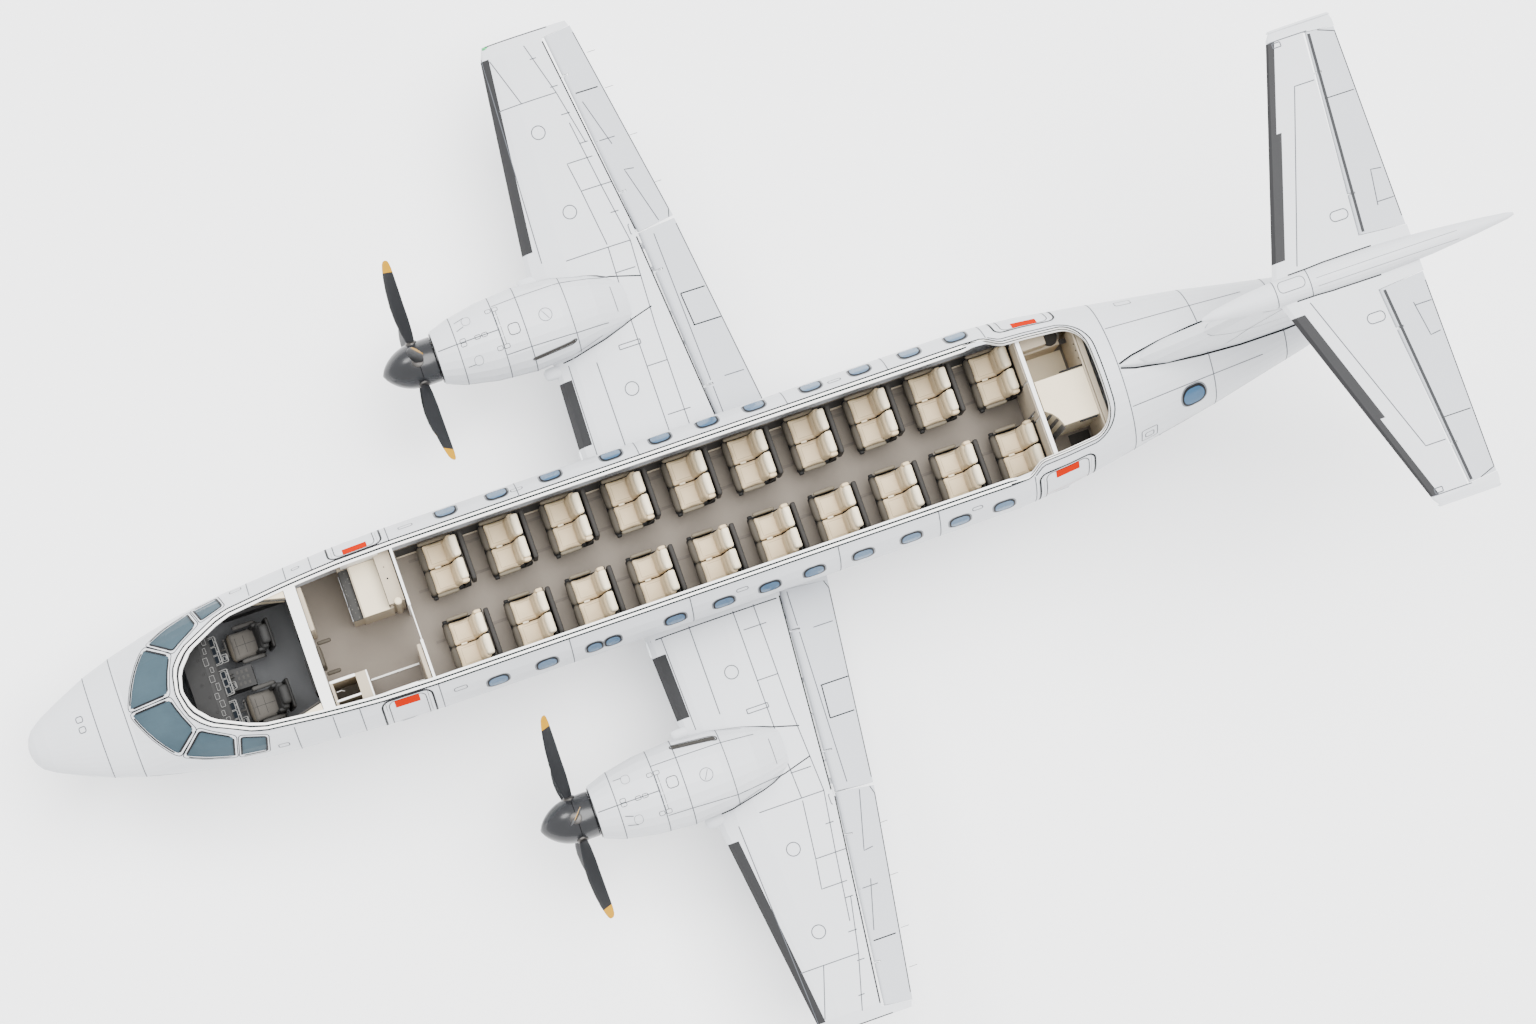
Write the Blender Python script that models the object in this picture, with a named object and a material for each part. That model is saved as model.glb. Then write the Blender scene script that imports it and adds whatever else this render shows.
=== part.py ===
"""A twin turboprop airliner with its cabin roof cut away, standing on its landing gear.

X points forward, Y to port and Z up, in metres. The ground is at z = 0 and the origin lies below
the middle of the hull. Heights in the hull's own tables are counted from the cabin's centre line.
"""
import bpy
import bmesh
from math import cos, pi, radians, sin, sqrt, tan
from mathutils import Matrix, Vector

# Driving dimensions of the hull
NOSE_X = 11.5
TAIL_X = -NOSE_X
CENTRE_Z = 2.70
CUT_Z = CENTRE_Z + 0.88
FLOOR_Z = CENTRE_Z - 0.75
FLOOR_THICKNESS = 0.05
WALL = 0.06
RIM_SIDES = 40
FAR = 20.0

# Clearances: between pieces that touch, between touching pieces on a tapered wall, and of moving pieces
SEAT = 0.0003
TAPER_SEAT = 0.003
RUNNING = 0.008
PIN_PLAY = 0.0007

# Where the hull's sections meet, from the radome to the rear bulkhead
RADOME_X = 10.40
COCKPIT_REAR_X = 7.03
ENTRY_REAR_X = 5.40
AFT_ENTRY_X = -4.05
REAR_BULKHEAD_X = -5.42
TAIL_HOLLOW_END_X = -9.4
TAIL_CONE_X = -10.5
PARALLEL_FRONT_X = 5.40
PARALLEL_REAR_X = -3.80

# Wing, from the side of its fairing to the tip
FAIRING_HALF_WIDTH = 1.30
WING_ROOT_Z = 1.65
DIHEDRAL = tan(radians(6.0))
WING_CAMBER = 0.02
WING_TIP_Y = 7.97

# Engines and propellers
NACELLE_Y = 3.65
PROPELLER_Z = 2.40
NACELLE_FRONT_X = 3.79
SPINNER_BASE_X = 3.82
BLADE_X = 4.10
SPINNER_TIP_X = 4.69
SPINNER_RADIUS = 0.35
PROPELLER_RADIUS = 1.68
BLADE_COUNT = 5
SHAFT_RADIUS = 0.06
ENGINE_FRONT_X = 3.55
ENGINE_REAR_X = 2.22
ENGINE_HALF_SIZE = 0.27

# Tail
TAILPLANE_Z = CENTRE_Z + 4.0
BULLET_FRONT_X = -6.66
FIN_HINGE_BOTTOM = (-9.62, 0.0, CENTRE_Z + 1.36)
FIN_HINGE_TOP = (-9.98, 0.0, TAILPLANE_Z - 0.36)

# Landing gear: leg place, tyre radius and width, distance of the twin tyres from the leg
NOSE_LEG_X = 9.35
NOSE_TYRE = dict(radius=0.32, width=0.20, offset=0.20, axle=0.040)
MAIN_LEG_X = 0.55
MAIN_TYRE = dict(radius=0.45, width=0.28, offset=0.25, axle=0.055)
NOSE_LEG = dict(radius=0.065, top=1.90, bottom=0.98, piston=0.05)
MAIN_LEG = dict(radius=0.08, top=1.68, bottom=1.02, piston=0.06)
BRACE_RADIUS = 0.028
WHEEL_SIDES = 20

# Cabin
SEAT_ROWS = 10
FIRST_ROW_X = 4.73
ROW_PITCH = 0.978
AISLE_HALF_WIDTH = 0.20
DOUBLE_SEAT_WIDTH = 0.90

# Hull sections: x, half width at the waist, top, bottom and waist height
HULL = (
    (11.50, 0.08, -0.42, -0.56, -0.49),
    (11.46, 0.20, -0.32, -0.66, -0.48),
    (11.38, 0.31, -0.25, -0.74, -0.46),
    (11.20, 0.43, -0.16, -0.83, -0.43),
    (10.90, 0.575, -0.06, -0.93, -0.38),
    (10.40, 0.79, 0.09, -1.04, -0.31),
    (9.90, 0.95, 0.26, -1.13, -0.26),
    (9.40, 1.07, 0.66, -1.21, -0.22),
    (9.00, 1.15, 0.95, -1.26, -0.18),
    (8.50, 1.225, 1.19, -1.32, -0.13),
    (8.00, 1.28, 1.34, -1.36, -0.09),
    (7.03, 1.35, 1.415, -1.41, -0.03),
    (6.30, 1.40, 1.425, -1.425, 0.0),
    (5.40, 1.425, 1.425, -1.425, 0.0),
    (-3.80, 1.425, 1.425, -1.425, 0.0),
    (-4.60, 1.35, 1.42, -1.35, 0.03),
    (-5.50, 1.20, 1.40, -1.13, 0.12),
    (-7.00, 0.93, 1.35, -0.64, 0.33),
    (-8.60, 0.58, 1.22, -0.04, 0.58),
    (-9.70, 0.30, 1.06, 0.40, 0.73),
    (-10.40, 0.09, 0.93, 0.72, 0.83),
    (-10.50, 0.04, 0.88, 0.78, 0.83),
)

# Cockpit windows, seen on the skin: corners as x, distance from the middle and height, port side
WINDSHIELD = ((9.84, 0.05, 0.30), (9.36, 0.80, 0.34), (9.03, 0.56, 0.76), (9.22, 0.05, 0.76))
SIDE_WINDOW = ((9.27, 0.87, 0.34), (8.60, 1.10, 0.33), (8.52, 0.86, 0.76), (8.94, 0.62, 0.76))
REAR_WINDOW = ((8.48, 1.13, 0.34), (8.12, 1.18, 0.36), (8.06, 1.00, 0.72), (8.40, 0.92, 0.75))
WINDOW_DEPTH = 0.22
GLASS_THICKNESS = 0.025

# Doors: name, rear x, front x and side (1 is port)
ENTRY_DOOR = ("entry_door", 5.58, 6.24, 1)
FIXED_DOORS = (
    ("service_door", 5.56, 6.28, -1),
    ("aft_door_left", -4.97, -4.18, 1),
    ("aft_door_right", -5.09, -4.28, -1),
)
DOOR_SILL_Z = FLOOR_Z - FLOOR_THICKNESS - 0.02
DOOR_SEAM = 0.004
DOOR_HINGE_RADIUS = 0.022
DOORWAY_INNER_Y = 0.85
DOORWAY_OUTER_Y = 1.60
DOOR_OVERLAP = 0.1

# The airstair's lugs, from its pin inward and outward, and their root in the wall beside the doorway
DOOR_LUG = 0.04
LUG_INWARD = 0.034
LUG_OUTWARD = 0.005
LUG_ROOT = 0.02

# The airstair's foot is cut back outside its pin, so that it swings clear of the sill: outward and upward
FOOT_OUTWARD = 0.004
FOOT_UPWARD = 0.036

# The airstair's steps: count, first height over its foot, rise, depth, thickness and margin at both ends
ENTRY_STEPS = 5
STEP_FOOT = 0.26
STEP_RISE = 0.27
STEP_DEPTH = 0.10
STEP_THICKNESS = 0.03
STEP_MARGIN = 0.09

# Wing sections: y, leading edge x, trailing edge x, thickness as a share of the chord
WING = (
    (FAIRING_HALF_WIDTH + 0.0004, 2.195, -0.783, 0.15),
    (4.55, 2.07, -0.36, 0.13),
    (7.75, 1.685, 0.18, 0.12),
    (WING_TIP_Y, 1.60, 0.25, 0.05),
)

# Wing control surfaces: hinge line from (x, y) to (x, y), chord at both ends
FLAP = dict(start=(-0.10, 1.37), end=(0.17, 4.54), chords=(0.665, 0.53))
AILERON = dict(start=(0.172, 4.56), end=(0.60, 7.82), chords=(0.53, 0.40))

# Tailplane sections in the same columns as the wing's, and the elevator
TAILPLANE = (
    (0.0, -7.75, -9.97, 0.095),
    (3.55, -8.94, -9.97, 0.095),
    (3.66, -9.02, -9.94, 0.04),
)
ELEVATOR = dict(start=(-9.30, 0.42), end=(-9.56, 3.48), chords=(0.655, 0.40))

# Fin sections: height above the cabin's centre, leading edge x, trailing edge x, thickness
FIN = (
    (0.90, -5.60, -10.18, 0.42),
    (1.50, -6.05, -10.26, 0.42),
    (2.20, -6.95, -10.34, 0.36),
    (3.86, -7.85, -10.50, 0.26),
)
RUDDER_CHORDS = (0.66, 0.50)

# Bullet fairing on the fin: x, radius
BULLET = (
    (BULLET_FRONT_X, 0.02), (-6.85, 0.08), (-7.30, 0.15), (-7.90, 0.205), (-8.60, 0.235),
    (-9.40, 0.225), (-10.20, 0.175), (-10.90, 0.11), (-11.40, 0.05), (TAIL_X, 0.02),
)

# Nacelle: x, half width, top and bottom as heights above the ground
COWLING = (
    (NACELLE_FRONT_X, 0.415, 2.815, 1.985),
    (3.50, 0.52, 2.91, 1.80),
    (3.00, 0.62, 2.99, 1.66),
    (2.40, 0.665, 3.01, 1.62),
    (1.80, 0.62, 2.90, 1.66),
    (1.25, 0.50, 2.62, 1.75),
    (0.75, 0.34, 2.15, 1.80),
)
GEAR_BAY = (
    (2.60, 0.40, 2.00, 1.56),
    (1.70, 0.42, 1.98, 1.53),
    (0.90, 0.38, 1.95, 1.55),
    (0.28, 0.20, 1.90, 1.70),
)

# Tyre section: share of the radius, share of the half width
TYRE = ((0.58, 0.55), (0.66, 0.95), (0.90, 0.95), (1.0, 0.35))

# Blades: radius, chord, pitch in degrees, thickness as a share of the chord, sweep
BLADE = (
    (0.20, 0.12, 60.0, 0.30, 0.00),
    (0.50, 0.19, 50.0, 0.14, 0.02),
    (0.90, 0.24, 38.0, 0.09, 0.03),
    (1.35, 0.22, 28.0, 0.07, 0.01),
    (1.60, 0.15, 24.0, 0.06, -0.03),
    (PROPELLER_RADIUS, 0.05, 22.0, 0.06, -0.07),
)

# Belly fairing: x, half width and bottom
WING_FAIRING = (
    (3.30, 0.55, CENTRE_Z - 1.40), (2.60, FAIRING_HALF_WIDTH, CENTRE_Z - 1.52),
    (-1.10, FAIRING_HALF_WIDTH, CENTRE_Z - 1.52), (-2.10, 0.55, CENTRE_Z - 1.40),
)

# Edges of the flying surfaces, and their hinges: places along the length, pin radius, and half widths
# along the pin of the slot, the bracket in it and the pin
REAR_EDGE = 0.012
FIN_EDGE = 0.004
HINGE_PLACES = (0.2, 0.8)
HINGE_PIN_RADIUS = 0.012
HINGE_SLOT = 0.016
HINGE_BRACKET = 0.009
HINGE_PIN = 0.030
HINGE_EYE = 0.026
HINGE_BORE_END = 0.003

# Seats of lofted pieces on each other
WING_SEAT = 0.0006
TAIL_SEAT = 0.0006

# Cabin furniture: name, rear x, front x, lowest y, highest y, height over the floor
FLOOR_FRONT_X = 9.20
BULKHEAD_THICKNESS = 0.08
TO_WALL = 2.0
WALL_HEIGHT = CUT_Z - FLOOR_Z
FURNITURE = (
    ("cockpit_bulkhead", 6.94, 7.12, -TO_WALL, TO_WALL, WALL_HEIGHT),
    ("partition_right", 5.40, 5.44, -TO_WALL, -0.12, WALL_HEIGHT),
    ("partition_left", 5.40, 5.44, 0.42, TO_WALL, WALL_HEIGHT),
    ("lavatory_partition", -4.50, -4.44, -TO_WALL, TO_WALL, WALL_HEIGHT),
    ("vanity", -5.20, -4.52, -TO_WALL, -0.74, 0.85),
)
GALLEY = (
    ("galley", 5.65, 6.12, -TO_WALL, -0.20, 1.18),
    ("galley_front", 6.05, 6.28, -TO_WALL, -0.22, 1.04),
    ("galley_back", 5.46, 5.70, -TO_WALL, -0.24, 1.44),
)
GALLEY_POST = (5.56, -0.25)
GALLEY_POST_RADIUS = 0.06
GALLEY_POST_HEIGHT = 1.48
WARDROBE = ("wardrobe", 6.34, 6.92, 0.56, TO_WALL, 1.42)
WARDROBE_BAYS = ((0.60, 0.86), (0.89, TO_WALL))
LAVATORY = ("lavatory_module", -5.32, -4.53, -0.24, 0.52, 1.55)
LAVATORY_DOOR_CENTRE = (-4.30, 0.62)
LAVATORY_DOOR_RADIUS = 0.46

# Cockpit: place of the port pilot's seat, and height of the instrument panel over the floor
PILOT_SEAT = (7.90, 0.48)
PANEL_HEIGHT = 0.98

COLOURS = {
    # name: red, green, blue, metallic, roughness
    "white_paint": (0.82, 0.84, 0.87, 0.0, 0.35),
    "painted_composite": (0.83, 0.85, 0.88, 0.0, 0.4),
    "grey_metal": (0.45, 0.46, 0.48, 0.9, 0.4),
    "charcoal": (0.03, 0.033, 0.037, 0.0, 0.45),
    "tyre_rubber": (0.02, 0.02, 0.021, 0.0, 0.8),
    "cabin_trim": (0.71, 0.66, 0.58, 0.0, 0.6),
    "cabin_carpet": (0.27, 0.24, 0.21, 0.0, 0.9),
    "seat_leather": (0.72, 0.66, 0.56, 0.0, 0.55),
    "pilot_fabric": (0.30, 0.28, 0.26, 0.0, 0.85),
    "window_glass": (0.20, 0.27, 0.33, 0.0, 0.08),
    "engine_casting": (0.30, 0.30, 0.31, 0.9, 0.5),
}


def make_materials():
    materials = {}
    for name, (red, green, blue, metallic, roughness) in COLOURS.items():
        material = bpy.data.materials.new(name)
        material.use_nodes = True
        shader = material.node_tree.nodes["Principled BSDF"]
        shader.inputs["Base Color"].default_value = (red, green, blue, 1.0)
        shader.inputs["Metallic"].default_value = metallic
        shader.inputs["Roughness"].default_value = roughness
        material.diffuse_color = (red, green, blue, 1.0)
        materials[name] = material
    return materials


# Solids and how they are combined

def solid(name, points, faces):
    """A closed mesh object with its faces turned outward."""
    shape = bmesh.new()
    corners = [shape.verts.new(point) for point in points]
    for face in faces:
        shape.faces.new([corners[index] for index in face])
    bmesh.ops.recalc_face_normals(shape, faces=shape.faces)
    mesh = bpy.data.meshes.new(name)
    shape.to_mesh(mesh)
    shape.free()
    piece = bpy.data.objects.new(name, mesh)
    bpy.context.scene.collection.objects.link(piece)
    return piece


def loft(name, rings):
    """Rings of equally many points, joined in order by triangles and capped at both ends.

    Two lofts of the same rings, one a little larger, have matching triangles and so never cross.
    """
    count = len(rings[0])
    points = [point for ring in rings for point in ring]
    faces = [tuple(range(count)), tuple(range(len(points) - count, len(points)))]
    for row in range(0, len(points) - count, count):
        for step in range(count):
            after = (step + 1) % count
            faces.append((row + step, row + after, row + count + after))
            faces.append((row + step, row + count + after, row + count + step))
    return solid(name, points, faces)


def box(name, low, high):
    x, y, z = zip(low, high)
    bottom = [(x[0], y[0], z[0]), (x[1], y[0], z[0]), (x[1], y[1], z[0]), (x[0], y[1], z[0])]
    return loft(name, [bottom, [(px, py, z[1]) for px, py, _ in bottom]])


def rod(name, start, end, radius, sides=16, grow=0.0):
    """A round bar between two points, larger all round by grow."""
    start, end = Vector(start), Vector(end)
    along = (end - start).normalized() * grow
    start, end, radius = start - along, end + along, radius + grow
    turned = (end - start).to_track_quat("Z", "Y")
    circle = [Vector((radius * cos(angle), radius * sin(angle), 0.0))
              for angle in (2 * pi * step / sides for step in range(sides))]
    return loft(name, [[point + turned @ edge for edge in circle] for point in (start, end)])


def extruded(name, outline, y_low, y_high):
    """An outline of (x, z) points, run along Y."""
    return loft(name, [[(x, y, z) for x, z in outline] for y in (y_low, y_high)])


def round_loft(name, sections, sides=24):
    """A body along X with oval sections: x, middle y, half width, top and bottom."""
    rings = []
    for x, middle, half_width, top, bottom in sections:
        rings.append([(x, middle + half_width * cos(angle),
                       (top + bottom) / 2 + (top - bottom) / 2 * sin(angle))
                      for angle in (2 * pi * (step + 0.5) / sides for step in range(sides))])
    return loft(name, rings)


def combine(target, tool, operation="DIFFERENCE"):
    """Cut, join or intersect with a tool, which is used up."""
    modifier = target.modifiers.new("combine", "BOOLEAN")
    modifier.operation = operation
    modifier.object = tool
    modifier.solver = "EXACT"
    bpy.context.view_layer.update()
    shaped = target.evaluated_get(bpy.context.evaluated_depsgraph_get())
    mesh = bpy.data.meshes.new_from_object(shaped)
    mesh.name = target.name
    target.modifiers.clear()
    target.data = mesh
    bpy.data.objects.remove(tool)
    return target


def unite(target, *tools):
    for tool in tools:
        combine(target, tool, "UNION")
    return target


def trim_above(piece, height):
    return combine(piece, box("above", (-FAR, -FAR, height), (FAR, FAR, FAR)))


def keep_inside(piece, low, high):
    return combine(piece, box("inside", low, high), "INTERSECT")


def mirrored(piece, name):
    """The same piece on the starboard side."""
    mesh = piece.data.copy()
    mesh.transform(Matrix.Scale(-1.0, 4, (0, 1, 0)))
    mesh.flip_normals()
    other = bpy.data.objects.new(name, mesh)
    bpy.context.scene.collection.objects.link(other)
    other.location = piece.location * Vector((1, -1, 1))
    return other


def place_origin(piece, point):
    """Moves the origin to a point, such as a joint's axis, and leaves the shape where it is."""
    piece.data.transform(Matrix.Translation(piece.location - Vector(point)))
    piece.location = point
    return piece


# Hull

def hull_section(x, inset=0.0):
    """Half width, top, bottom and waist of the hull at x, inside the skin by an inset."""
    for front, rear in zip(HULL, HULL[1:]):
        if front[0] >= x >= rear[0]:
            share = (front[0] - x) / (front[0] - rear[0])
            half_width, top, bottom, waist = (a + share * (b - a) for a, b in zip(front[1:], rear[1:]))
            return half_width - inset, top - inset, bottom + inset, waist
    raise ValueError("x lies outside the hull")


def hull_stations(front_x, rear_x):
    between = [row[0] for row in HULL if front_x > row[0] > rear_x]
    return [front_x] + between + [rear_x]


def hull_ring(x, inset=0.0):
    half_width, top, bottom, waist = hull_section(x, inset)
    ring = []
    for step in range(RIM_SIDES):
        angle = 2 * pi * step / RIM_SIDES
        height = top - waist if sin(angle) > 0 else waist - bottom
        ring.append((x, half_width * cos(angle), CENTRE_Z + waist + height * sin(angle)))
    return ring


def hull_slice(name, front_x, rear_x, inset=0.0):
    """The whole inside of the hull between two stations, as one solid."""
    return loft(name, [hull_ring(x, inset) for x in hull_stations(front_x, rear_x)])


def hull_shell(name, front_x, rear_x, outer=0.0, inner=WALL):
    """A ring of skin between two stations, open at both ends."""
    stations = hull_stations(front_x, rear_x)
    rings = [hull_ring(x, outer) for x in stations] + [hull_ring(x, inner) for x in reversed(stations)]
    points = [point for ring in rings for point in ring]
    faces = []
    for row in range(len(rings)):
        following = (row + 1) % len(rings)
        for step in range(RIM_SIDES):
            after = (step + 1) % RIM_SIDES
            faces.append((row * RIM_SIDES + step, row * RIM_SIDES + after,
                          following * RIM_SIDES + after, following * RIM_SIDES + step))
    return solid(name, points, faces)


def skin_point(x, height, inset=0.0):
    """Distance from the middle to the skin at x and at a height above the cabin's centre."""
    half_width, top, bottom, waist = hull_section(x, inset)
    reach = top - waist if height > waist else waist - bottom
    return half_width * sqrt(1 - ((height - waist) / reach) ** 2)


def door_opening(x_rear, x_front, side, margin=0.0):
    """The space of a doorway, from its sill up past the cut."""
    low, high = sorted((side * DOORWAY_INNER_Y, side * DOORWAY_OUTER_Y))
    return ((x_rear - margin, low, DOOR_SILL_Z - margin), (x_front + margin, high, CUT_Z + 0.2))


def window_cutter(corners, side, grow):
    """A prism through the skin over a window's four corners, wider by grow on every side."""
    middle = sum((Vector(corner) for corner in corners), Vector()) / 4
    across = (Vector(corners[2]) - Vector(corners[0])).cross(Vector(corners[3]) - Vector(corners[1]))
    across.normalize()
    outline = []
    for corner in corners:
        point = Vector(corner)
        outline.append(point + (point - middle).normalized() * grow)
    rings = []
    for depth in (-WINDOW_DEPTH, WINDOW_DEPTH):
        moved = [point + across * depth for point in outline]
        rings.append([(point.x, side * point.y, CENTRE_Z + point.z) for point in moved])
    return loft("window", rings)


def make_hull():
    """The skin in the sections that a factory joins, with its roof cut away over the cabin."""
    pieces = {}
    nose = loft("nose_cone", [hull_ring(x) for x in hull_stations(NOSE_X, RADOME_X)])
    pieces["nose_cone"] = nose

    cockpit = hull_shell("cockpit_section", RADOME_X - SEAT, COCKPIT_REAR_X)
    trim_above(cockpit, CUT_Z)
    for corners in (WINDSHIELD, SIDE_WINDOW, REAR_WINDOW):
        for side in (1, -1):
            combine(cockpit, window_cutter(corners, side, 0.0))
    for leg in nose_leg_rods(SEAT):
        combine(cockpit, leg)
    pieces["cockpit_section"] = cockpit

    entry = hull_shell("entry_section", COCKPIT_REAR_X - SEAT, ENTRY_REAR_X)
    cabin = hull_shell("cabin_section", ENTRY_REAR_X - SEAT, AFT_ENTRY_X)
    aft = hull_shell("aft_section", AFT_ENTRY_X - SEAT, REAR_BULKHEAD_X)
    for section in (entry, cabin, aft):
        trim_above(section, CUT_Z)
        pieces[section.name] = section
    for name, rear_x, front_x, side in (ENTRY_DOOR,) + FIXED_DOORS:
        section = aft if rear_x < 0 else entry
        combine(section, box("doorway", *door_opening(rear_x, front_x, side)))

    tail = hull_slice("tail_section", REAR_BULKHEAD_X - SEAT, TAIL_CONE_X)
    combine(tail, hull_slice("hollow", REAR_BULKHEAD_X + 0.3, TAIL_HOLLOW_END_X, WALL))
    pieces["tail_section"] = tail
    return pieces


# Doors

def make_doors():
    """Each door is the piece of wall that its doorway leaves out, as thick as the wall."""
    pieces = {}
    for name, rear_x, front_x, side in FIXED_DOORS:
        door = hull_shell(name, front_x + DOOR_OVERLAP, rear_x - DOOR_OVERLAP)
        low, high = door_opening(rear_x, front_x, side, -DOOR_SEAM)
        keep_inside(door, (low[0], low[1], DOOR_SILL_Z + SEAT), (high[0], high[1], CUT_Z))
        pieces[name] = door
    pieces[ENTRY_DOOR[0]] = make_entry_door()
    return pieces


def entry_hinge():
    """A point on the airstair's hinge, in the lower outer corner of its doorway."""
    x = (ENTRY_DOOR[1] + ENTRY_DOOR[2]) / 2
    height = DOOR_SILL_Z + DOOR_HINGE_RADIUS + RUNNING
    return Vector((x, skin_point(x, height - CENTRE_Z) - DOOR_HINGE_RADIUS, height))


def make_entry_door():
    """The airstair: the wall of its doorway, hinged at the foot, with steps on its inner face."""
    name, rear_x, front_x, _ = ENTRY_DOOR
    hinge = entry_hinge()
    foot = hinge.z + DOOR_HINGE_RADIUS / 2
    door = hull_shell(name, front_x + DOOR_OVERLAP, rear_x - DOOR_OVERLAP)
    keep_inside(door, (rear_x + RUNNING, DOORWAY_INNER_Y, foot), (front_x - RUNNING, DOORWAY_OUTER_Y, CUT_Z))
    for lug in door_lugs(RUNNING):
        combine(door, lug)
    low = (rear_x, hinge.y + FOOT_OUTWARD, DOOR_SILL_Z)
    combine(door, box("foot", low, (front_x, DOORWAY_OUTER_Y, hinge.z + FOOT_UPWARD)))
    barrel_ends = [(x, hinge.y, hinge.z) for x in (rear_x + DOOR_LUG + SEAT, front_x - DOOR_LUG - SEAT)]
    unite(door, rod("barrel", *barrel_ends, DOOR_HINGE_RADIUS))
    for step in range(ENTRY_STEPS):
        height = foot + STEP_FOOT + step * STEP_RISE
        wall_y = skin_point(hinge.x, height - CENTRE_Z, WALL)
        low = (rear_x + STEP_MARGIN, wall_y - STEP_DEPTH, height)
        high = (front_x - STEP_MARGIN, wall_y + WALL / 2, height + STEP_THICKNESS)
        unite(door, box("tread", low, high))
    return place_origin(door, hinge)


def door_lugs(grow=0.0):
    """Two lugs in the doorway's lower corners, which hold the airstair's hinge pin."""
    _, rear_x, front_x, _ = ENTRY_DOOR
    hinge = entry_hinge()
    lugs = []
    for low_x, high_x in ((rear_x - LUG_ROOT, rear_x + DOOR_LUG), (front_x - DOOR_LUG, front_x + LUG_ROOT)):
        low = (low_x, hinge.y - LUG_INWARD - 4 * grow, DOOR_SILL_Z - LUG_ROOT / 2)
        high = (high_x, hinge.y + LUG_OUTWARD + 4 * grow, hinge.z + DOOR_HINGE_RADIUS + grow)
        lugs.append(box("lug", low, high))
    return lugs


# Floor, bulkheads and furniture

def lining(name, front_x, rear_x):
    """The room inside the skin between two stations, as one solid that all furniture is cut from."""
    stations = [(x, SEAT if PARALLEL_FRONT_X > x > PARALLEL_REAR_X else TAPER_SEAT)
                for x in hull_stations(front_x, rear_x)]
    for x in (PARALLEL_FRONT_X - 0.01, PARALLEL_REAR_X + 0.01):
        if front_x > x > rear_x:
            stations.append((x, SEAT))
    stations.sort(reverse=True)
    return loft(name, [hull_ring(x, WALL + inset) for x, inset in stations])


def fitted(name, x_rear, x_front, y_low, y_high, height, foot=SEAT):
    """Furniture between two heights over the floor, cut to the curve of the wall."""
    low = (x_rear - 1, y_low, FLOOR_Z + foot)
    return keep_inside(lining(name, x_front, x_rear), low, (x_front + 1, y_high, FLOOR_Z + height))


def make_interior():
    pieces = {}
    floor = lining("cabin_floor", FLOOR_FRONT_X, REAR_BULKHEAD_X + BULKHEAD_THICKNESS + SEAT)
    keep_inside(floor, (-FAR, -FAR, FLOOR_Z - FLOOR_THICKNESS), (FAR, FAR, FLOOR_Z))
    _, rear_x, front_x, _ = ENTRY_DOOR
    swing_y = entry_hinge().y - WALL - RUNNING
    combine(floor, box("swing", (rear_x - RUNNING, swing_y, 0), (front_x + RUNNING, TO_WALL, FLOOR_Z + 1)))
    pieces[floor.name] = floor

    for name, *extent in FURNITURE:
        pieces[name] = fitted(name, *extent)
    pieces["galley"] = make_galley()
    pieces["wardrobe"] = make_wardrobe()
    pieces["lavatory_module"] = make_lavatory()
    rear = lining("rear_bulkhead", REAR_BULKHEAD_X + BULKHEAD_THICKNESS, REAR_BULKHEAD_X)
    pieces["rear_bulkhead"] = trim_above(rear, CUT_Z)
    return pieces


def make_galley():
    """A counter with a darker front step, a back cabinet and a round corner post."""
    blocks = [fitted(name, *extent) for name, *extent in GALLEY]
    x, y = GALLEY_POST
    post = rod("post", (x, y, FLOOR_Z + SEAT), (x, y, FLOOR_Z + GALLEY_POST_HEIGHT), GALLEY_POST_RADIUS)
    return unite(*blocks, post)


def make_wardrobe():
    """Two open bays against the cockpit bulkhead, with a thick rear wall."""
    wardrobe = fitted(*WARDROBE)
    for low_y, high_y in WARDROBE_BAYS:
        combine(wardrobe, box("bay", (6.52, low_y, FLOOR_Z + 0.06), (6.88, high_y, CUT_Z)))
    return wardrobe


def make_lavatory():
    """The lavatory's middle block, with the corner cut off that its curved door swings past."""
    block = fitted(*LAVATORY)
    x, y = LAVATORY_DOOR_CENTRE
    swing = rod("swing", (x, y, FLOOR_Z - FLOOR_THICKNESS), (x, y, CUT_Z), LAVATORY_DOOR_RADIUS, 24)
    return combine(block, swing)


def seat_outline(front_x):
    """Side view of one seat: a squab and a reclined back, in x and z."""
    floor = FLOOR_Z
    return (
        (front_x, floor + 0.30), (front_x, floor + 0.43), (front_x - 0.06, floor + 0.47),
        (front_x - 0.46, floor + 0.44), (front_x - 0.56, floor + 1.08), (front_x - 0.66, floor + 1.08),
        (front_x - 0.59, floor + 0.50), (front_x - 0.55, floor + 0.30),
    )


def make_passenger_seats():
    """Ten double seats on one pair of floor rails, which join them."""
    comb_step = []
    for row in range(SEAT_ROWS):
        middle = FIRST_ROW_X - row * ROW_PITCH
        comb_step += [(middle + 0.22, FLOOR_Z + 0.02), (middle + 0.18, FLOOR_Z + 0.36),
                      (middle - 0.14, FLOOR_Z + 0.36), (middle - 0.20, FLOOR_Z + 0.02)]
    first, last = comb_step[0][0] + 0.08, comb_step[-1][0] - 0.08
    outline = [(first, FLOOR_Z + SEAT), (first, FLOOR_Z + 0.02)] + comb_step
    outline += [(last, FLOOR_Z + 0.02), (last, FLOOR_Z + SEAT)]
    middle_y = AISLE_HALF_WIDTH + DOUBLE_SEAT_WIDTH / 2
    seats = extruded("seats_left", outline, middle_y - 0.27, middle_y - 0.22)
    unite(seats, extruded("rail", outline, middle_y + 0.22, middle_y + 0.27))
    for row in range(SEAT_ROWS):
        front_x = FIRST_ROW_X + 0.33 - row * ROW_PITCH
        window_side = AISLE_HALF_WIDTH + DOUBLE_SEAT_WIDTH
        unite(seats, extruded("double", seat_outline(front_x), AISLE_HALF_WIDTH, window_side))
    return {"seats_left": seats, "seats_right": mirrored(seats, "seats_right")}


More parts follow.
